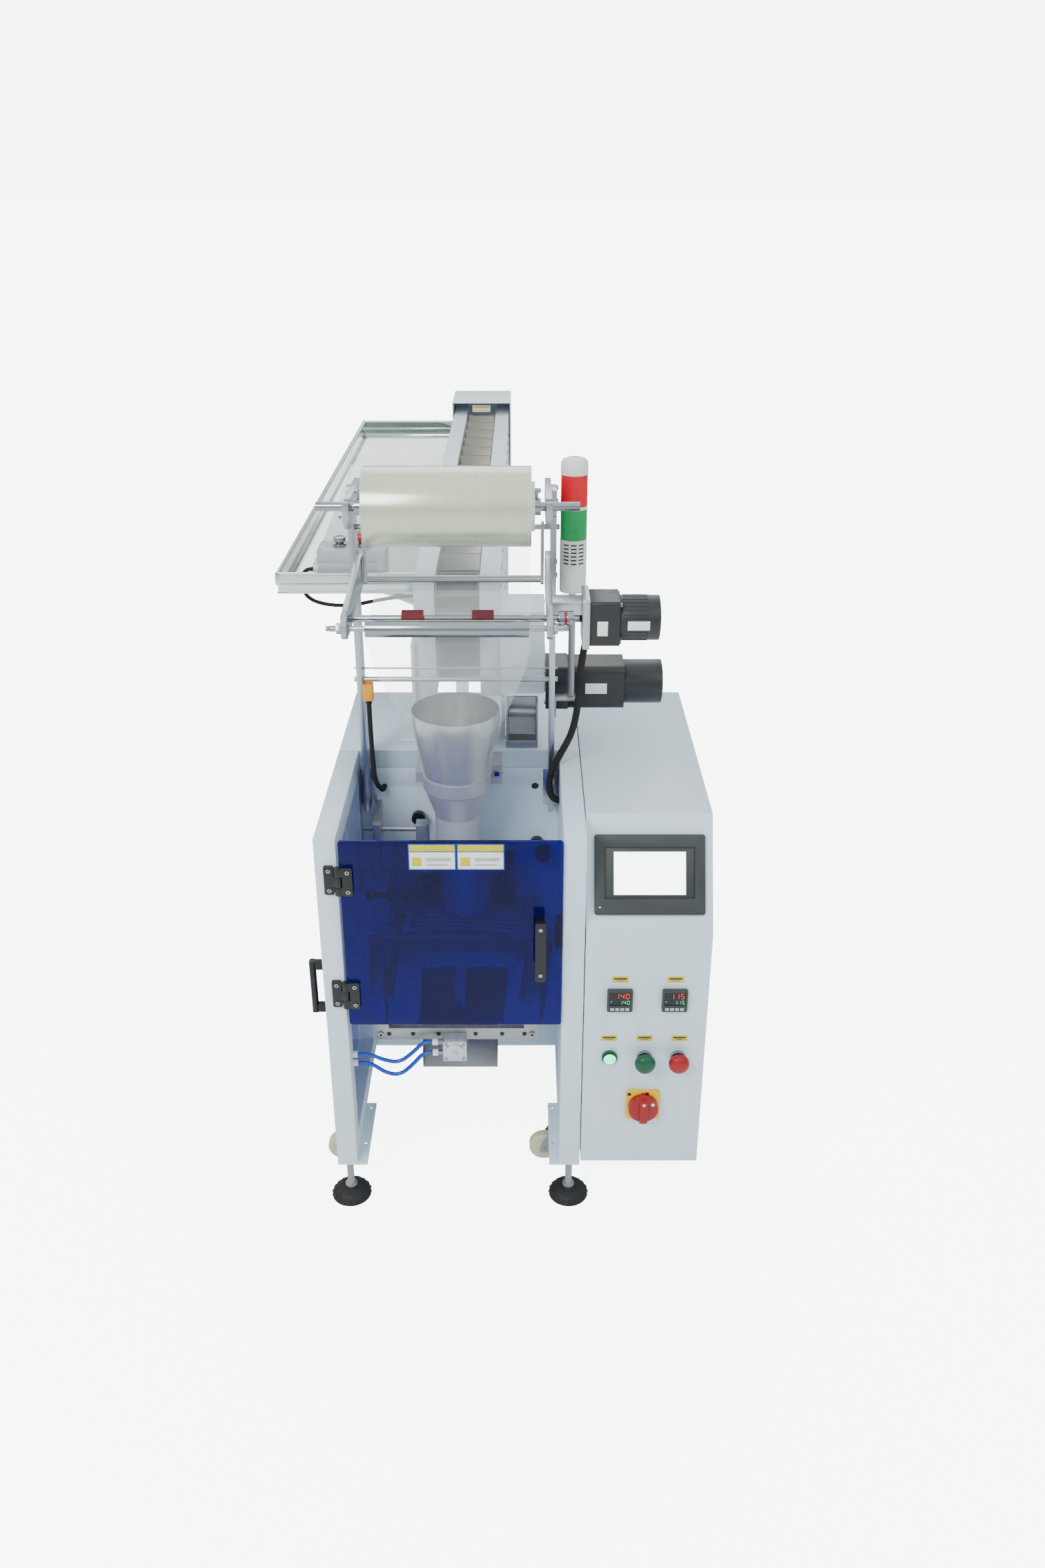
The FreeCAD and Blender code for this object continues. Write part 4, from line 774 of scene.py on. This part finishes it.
def film_upper():
    """Roll, down round the dancer rod, forward to the feed roller."""
    half = 144.0
    path = between((ROLL_Y + ROLL_R + 0.6, ROLL_Z - 4), (358.2, 1222), 14)
    path += round_rod(350, 1216, 8.2, 20, -100, 10)
    path += between((348.4, 1207.8), (150, 1198), 14)
    sheet = ribbon("film_web_piece", path, XC - half, XC + half, None, 1.2)
    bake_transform(sheet)
    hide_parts("film_web")


def film_lower():
    """Flat film leaves the rollers, folds round the funnel and becomes a sleeve on the tube."""
    rows, columns = 46, 72
    half = 144.5
    verts, faces = [], []
    for j in range(rows + 1):
        t = j / rows
        z = 1186 + (845 - 1186) * t
        front = 117 * (1 - t) + (TUBE_Y - 69.5) * t
        for i in range(columns + 1):
            share = 2 * i / columns - 1
            flat_x = share * half * (1 - 0.06 * t)
            arc_y = 69.5 * (1 - math.cos(share * math.radians(84)))
            blend = t * t * (3 - 2 * t)
            ripple = 1.6 * math.sin(11 * share + 3 * t) * math.sin(math.pi * t)
            x = flat_x * (1 - blend) + 69.5 * math.sin(share * math.radians(84)) * blend
            y = front + arc_y * blend + ripple
            verts.append(mm(XC + x, y, z))
    for j in range(rows):
        for i in range(columns):
            a = j * (columns + 1) + i
            faces.append((a, a + 1, a + columns + 2, a + columns + 1))
    base = len(verts)
    heights = [752 - 232 * k / 14 for k in range(15)]
    for k, z in enumerate(heights):
        for i in range(columns + 1):
            angle = 2 * math.pi * i / columns + math.pi / 2
            radius = 45.5 + 0.25 * math.sin(7 * angle + 0.9 * k)
            verts.append(mm(XC + radius * math.cos(angle), TUBE_Y + radius * math.sin(angle), z))
    for k in range(len(heights) - 1):
        for i in range(columns):
            a = base + k * (columns + 1) + i
            faces.append((a, a + 1, a + columns + 2, a + columns + 1))
    mesh = bpy.data.meshes.new("film_sleeve_piece")
    mesh.from_pydata(verts, [], faces)
    piece = add_object("film_sleeve_piece", mesh, "root", [FILM])
    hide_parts("film_sleeve")


def unwind_drive():
    def is_steel(c):
        return c.x < 115.1

    dress("unwind_motor", (STEEL_Z, is_steel), (BLACK_PAINT,), bevel=0.0008)
    extras = Build()
    for dy in (-33, 33):
        for dz in (-31, 35):
            extras.rod((167, FEED_Y + dy, FEED_Z + dz), (170, FEED_Y + dy, FEED_Z + dz), 4, 0)
    extras.block(180, 218, 85.4, 90, 1206, 1222, 1)
    extras.block(128, 146, 85.2, 86, 1196, 1222, 1)
    extras.finish("unwind_motor_details", "root", [CHROME, LABEL_WHITE], 0.0003)
    fan = Build()
    fan.rod((168, FEED_Y, MOTOR_Z), (236.5, FEED_Y, MOTOR_Z), MOTOR_R, 0, sides=64)
    for k in range(30):
        angle = 2 * math.pi * k / 30
        y, z = FEED_Y + 39 * math.cos(angle), MOTOR_Z + 39 * math.sin(angle)
        fan.rod((172, y, z), (216, y, z), 1.0, 0, sides=8)
    fan.rod((236.5, FEED_Y, MOTOR_Z), (238.0, FEED_Y, MOTOR_Z), 30, 0, sides=48)
    fan.finish("unwind_motor_ribs", "root", [BLACK_PAINT], 0.0003)


def tower_light():
    dress("tower_light_base", (ZINC, lambda c: c.z < 1190), (WHITE_PLASTIC,), bevel=0.001)
    lens_red, lens_green = Build(), Build()
    for build, z0, z1 in ((lens_green, 1296, 1352), (lens_red, 1358, 1415)):
        build.rod((TOWER_X, TOWER_Y, z0), (TOWER_X, TOWER_Y, z1), 23.9, 0, sides=72)
        for k in range(36):
            angle = 2 * math.pi * k / 36
            x, y = TOWER_X + 23.7 * math.cos(angle), TOWER_Y + 23.7 * math.sin(angle)
            build.rod((x, y, z0 + 0.5), (x, y, z1 - 0.5), 0.8, 0, sides=6)
        for z in (z0 + (z1 - z0) * 0.33, z0 + (z1 - z0) * 0.66):
            build.rod((TOWER_X, TOWER_Y, z - 0.5), (TOWER_X, TOWER_Y, z + 0.5), 24.5, 0, sides=72)
    red = lens_red.finish("tower_lens_red", "root", [LENS_RED])
    green = lens_green.finish("tower_lens_green", "root", [LENS_GREEN])
    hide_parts("tower_light_lenses")
    slots = Build()
    for row in range(6):
        for column in range(3):
            turn = math.radians(-90 + 34 * (column - 1))
            x, y = TOWER_X + 24.9 * math.cos(turn), TOWER_Y + 24.9 * math.sin(turn)
            matrix = Matrix.Translation((x, y, 1288 - row * 7)) @ Matrix.Rotation(turn, 4, "Z")
            slots.block(-0.3, 0.4, -5.2, 5.2, -1.2, 1.2, 0, matrix)
    slots.finish("tower_buzzer_slots", "root", [BLACK])


# ------------------------------------------------------------------ former and sealing unit
def former():
    dress("forming_set", (NECK_STEEL, lambda c: c.z < 845), (FUNNEL_STEEL,), bevel=0.0)
    seams = Build()
    seams.rod((XC - 66, TUBE_Y + 24, 826), (XC - 80, TUBE_Y + 24, 826), 5, 0)
    seams.rod((XC + 66, TUBE_Y + 36, 826), (XC + 90, TUBE_Y + 36, 826), 5, 0)
    seams.rod((XC + 78, TUBE_Y + 29, 826), (XC + 78, TUBE_Y + 22, 826), 6, 0)
    seams.finish("former_clamp_bolts", "root", [CHROME], 0.0005)


def sealing_unit():
    dress("seal_frame", (BLACK, lambda c: (140 < c.y < 162 and c.z > 604) or (c.y > 355 and c.z > 545 and
                                                                             abs(c.x + 254.5) > 10)),
          (ZINC,), bevel=0.0006)
    for node in ("front_jaw", "rear_jaw", "vertical_seal_bar"):
        dress(node, (ZINC,), bevel=0.0006)
    for node in ("pull_wheel_left", "pull_wheel_right"):
        dress(node, (RUBBER,), bevel=0.0005)
    dress("seal_cylinder", (ALUMINIUM, lambda c: -156 < c.x < -108), (CHROME, lambda c: -165 < c.x < -150),
          (WHITE_PLASTIC,), bevel=0.0008)
    bolts = Build()
    for dx in (-17, 17):
        for dz in (-17, 17):
            x, z = CYLINDER_X + dx, CYLINDER_Z + dz
            bolts.rod((x, 22.6, z), (x, 24.2, z), 3.6, 0)
    for x in (-278.0, 19.0):
        for z in (382.0, 590.0):
            bolts.rod((x, 52, z), (x, 55, z), 6, 0)
            bolts.rod((x, 51.7, z), (x, 52.2, z), 3, 1, sides=6)
    for x in (-262, -215, -165, -92, -40, 4):
        bolts.rod((x, 54.2, 383), (x, 55, 383), 4.5, 1)
    bolts.finish("seal_frame_bolts", "root", [CHROME, BLACK], 0.0004)
    dress("discharge_chute", (DARK_STEEL,), bevel=0.0005)


# ------------------------------------------------------------------ conveyor and tray
def conveyor():
    dress("conveyor_rails", (WHITE,), bevel=0.001)
    dress("conveyor_covers", (WHITE,), bevel=0.0015)
    dress("conveyor_supports", (ZINC, lambda c: 385 < c.y < 435 and c.x > -34),
          (RUBBER, lambda c: c.z < 11.9), (WHITE,), bevel=0.001)
    dress("conveyor_motor", (STEEL_Z, lambda c: c.x < 46.1), (BLACK_PAINT,), bevel=0.001)
    dress("upper_buckets", (BUCKET,), bevel=0.0004)
    dress("head_sprockets", (BUCKET, lambda c: math.hypot(c.y - SPROCKET_Y, c.z - SPROCKET_Z) > 45),
          (ZINC,), bevel=0.0004)
    plain("tail_sprockets", ZINC)
    screws = Build()
    for i in range(15):
        y = 470 + 125 * i
        for z in (965, 1165):
            screws.rod((RAIL_RIGHT, y, z), (RAIL_RIGHT + 2, y, z), 4.5, 0)
            screws.rod((RAIL_LEFT - 2, y, z), (RAIL_LEFT, y, z), 4.5, 0)
    for y, z in ((412, 975), (412, 1120), (510, 975), (510, 1120)):
        screws.rod((44, y, z), (45.8, y, z), 4, 0)
    screws.rod((XC + 84, SPROCKET_Y, SPROCKET_Z), (XC + 90, SPROCKET_Y, SPROCKET_Z), 14, 0)
    screws.finish("conveyor_screws", "root", [CHROME], 0.0004)
    motor = Build()
    motor.block(125, 168, 384.6, 385.8, 968, 990, 0)
    for y in (398, 462):
        for z in (945, 1011):
            motor.rod((43, y, z), (46.2, y, z), 4, 1)
    motor.rod((279, 430, 978), (280.5, 430, 978), 36, 2, sides=48)
    motor.finish("conveyor_motor_details", "root", [LABEL_WHITE, CHROME, BLACK_PAINT], 0.0004)
    plate = Build()
    plate.block(XC - 28, XC + 28, 2189.6, 2191, 1192, 1212, 0)
    plate.block(XC - 26, XC + 26, 2189.2, 2189.7, 1204, 1211, 1)
    plate.finish("hood_notice_plate", "root", [LABEL_WHITE, LABEL], 0.0002)


def tray():
    dress("sorting_tray", (MIRROR,), bevel=0.0005)
    dress("tray_control_box", (CHROME, lambda c: c.z > 1208.05), (WHITE_PLASTIC, lambda c: c.x < -421.1),
          (BOX_GREY,), bevel=0.001)
    dress("tray_start_button", (CHROME,), bevel=0.001)
    dress("tray_stop_button", (CHROME, lambda c: c.z < 1220.5), (RED,), bevel=0.001)
    screws = Build()
    for x in (-414, -287):
        for y in (576, 634):
            screws.rod((x, y, 1208), (x, y, 1209), 3.2, 0)
    screws.finish("tray_box_screws", "root", [CHROME], 0.0003)


body_panels()
louvres()
feet_and_casters()
operator_panel()
push_buttons()
cabinet_inside()
guards()
film_stand()
film_roll()
film_upper()
film_lower()
unwind_drive()
tower_light()
former()
sealing_unit()
conveyor()
tray()
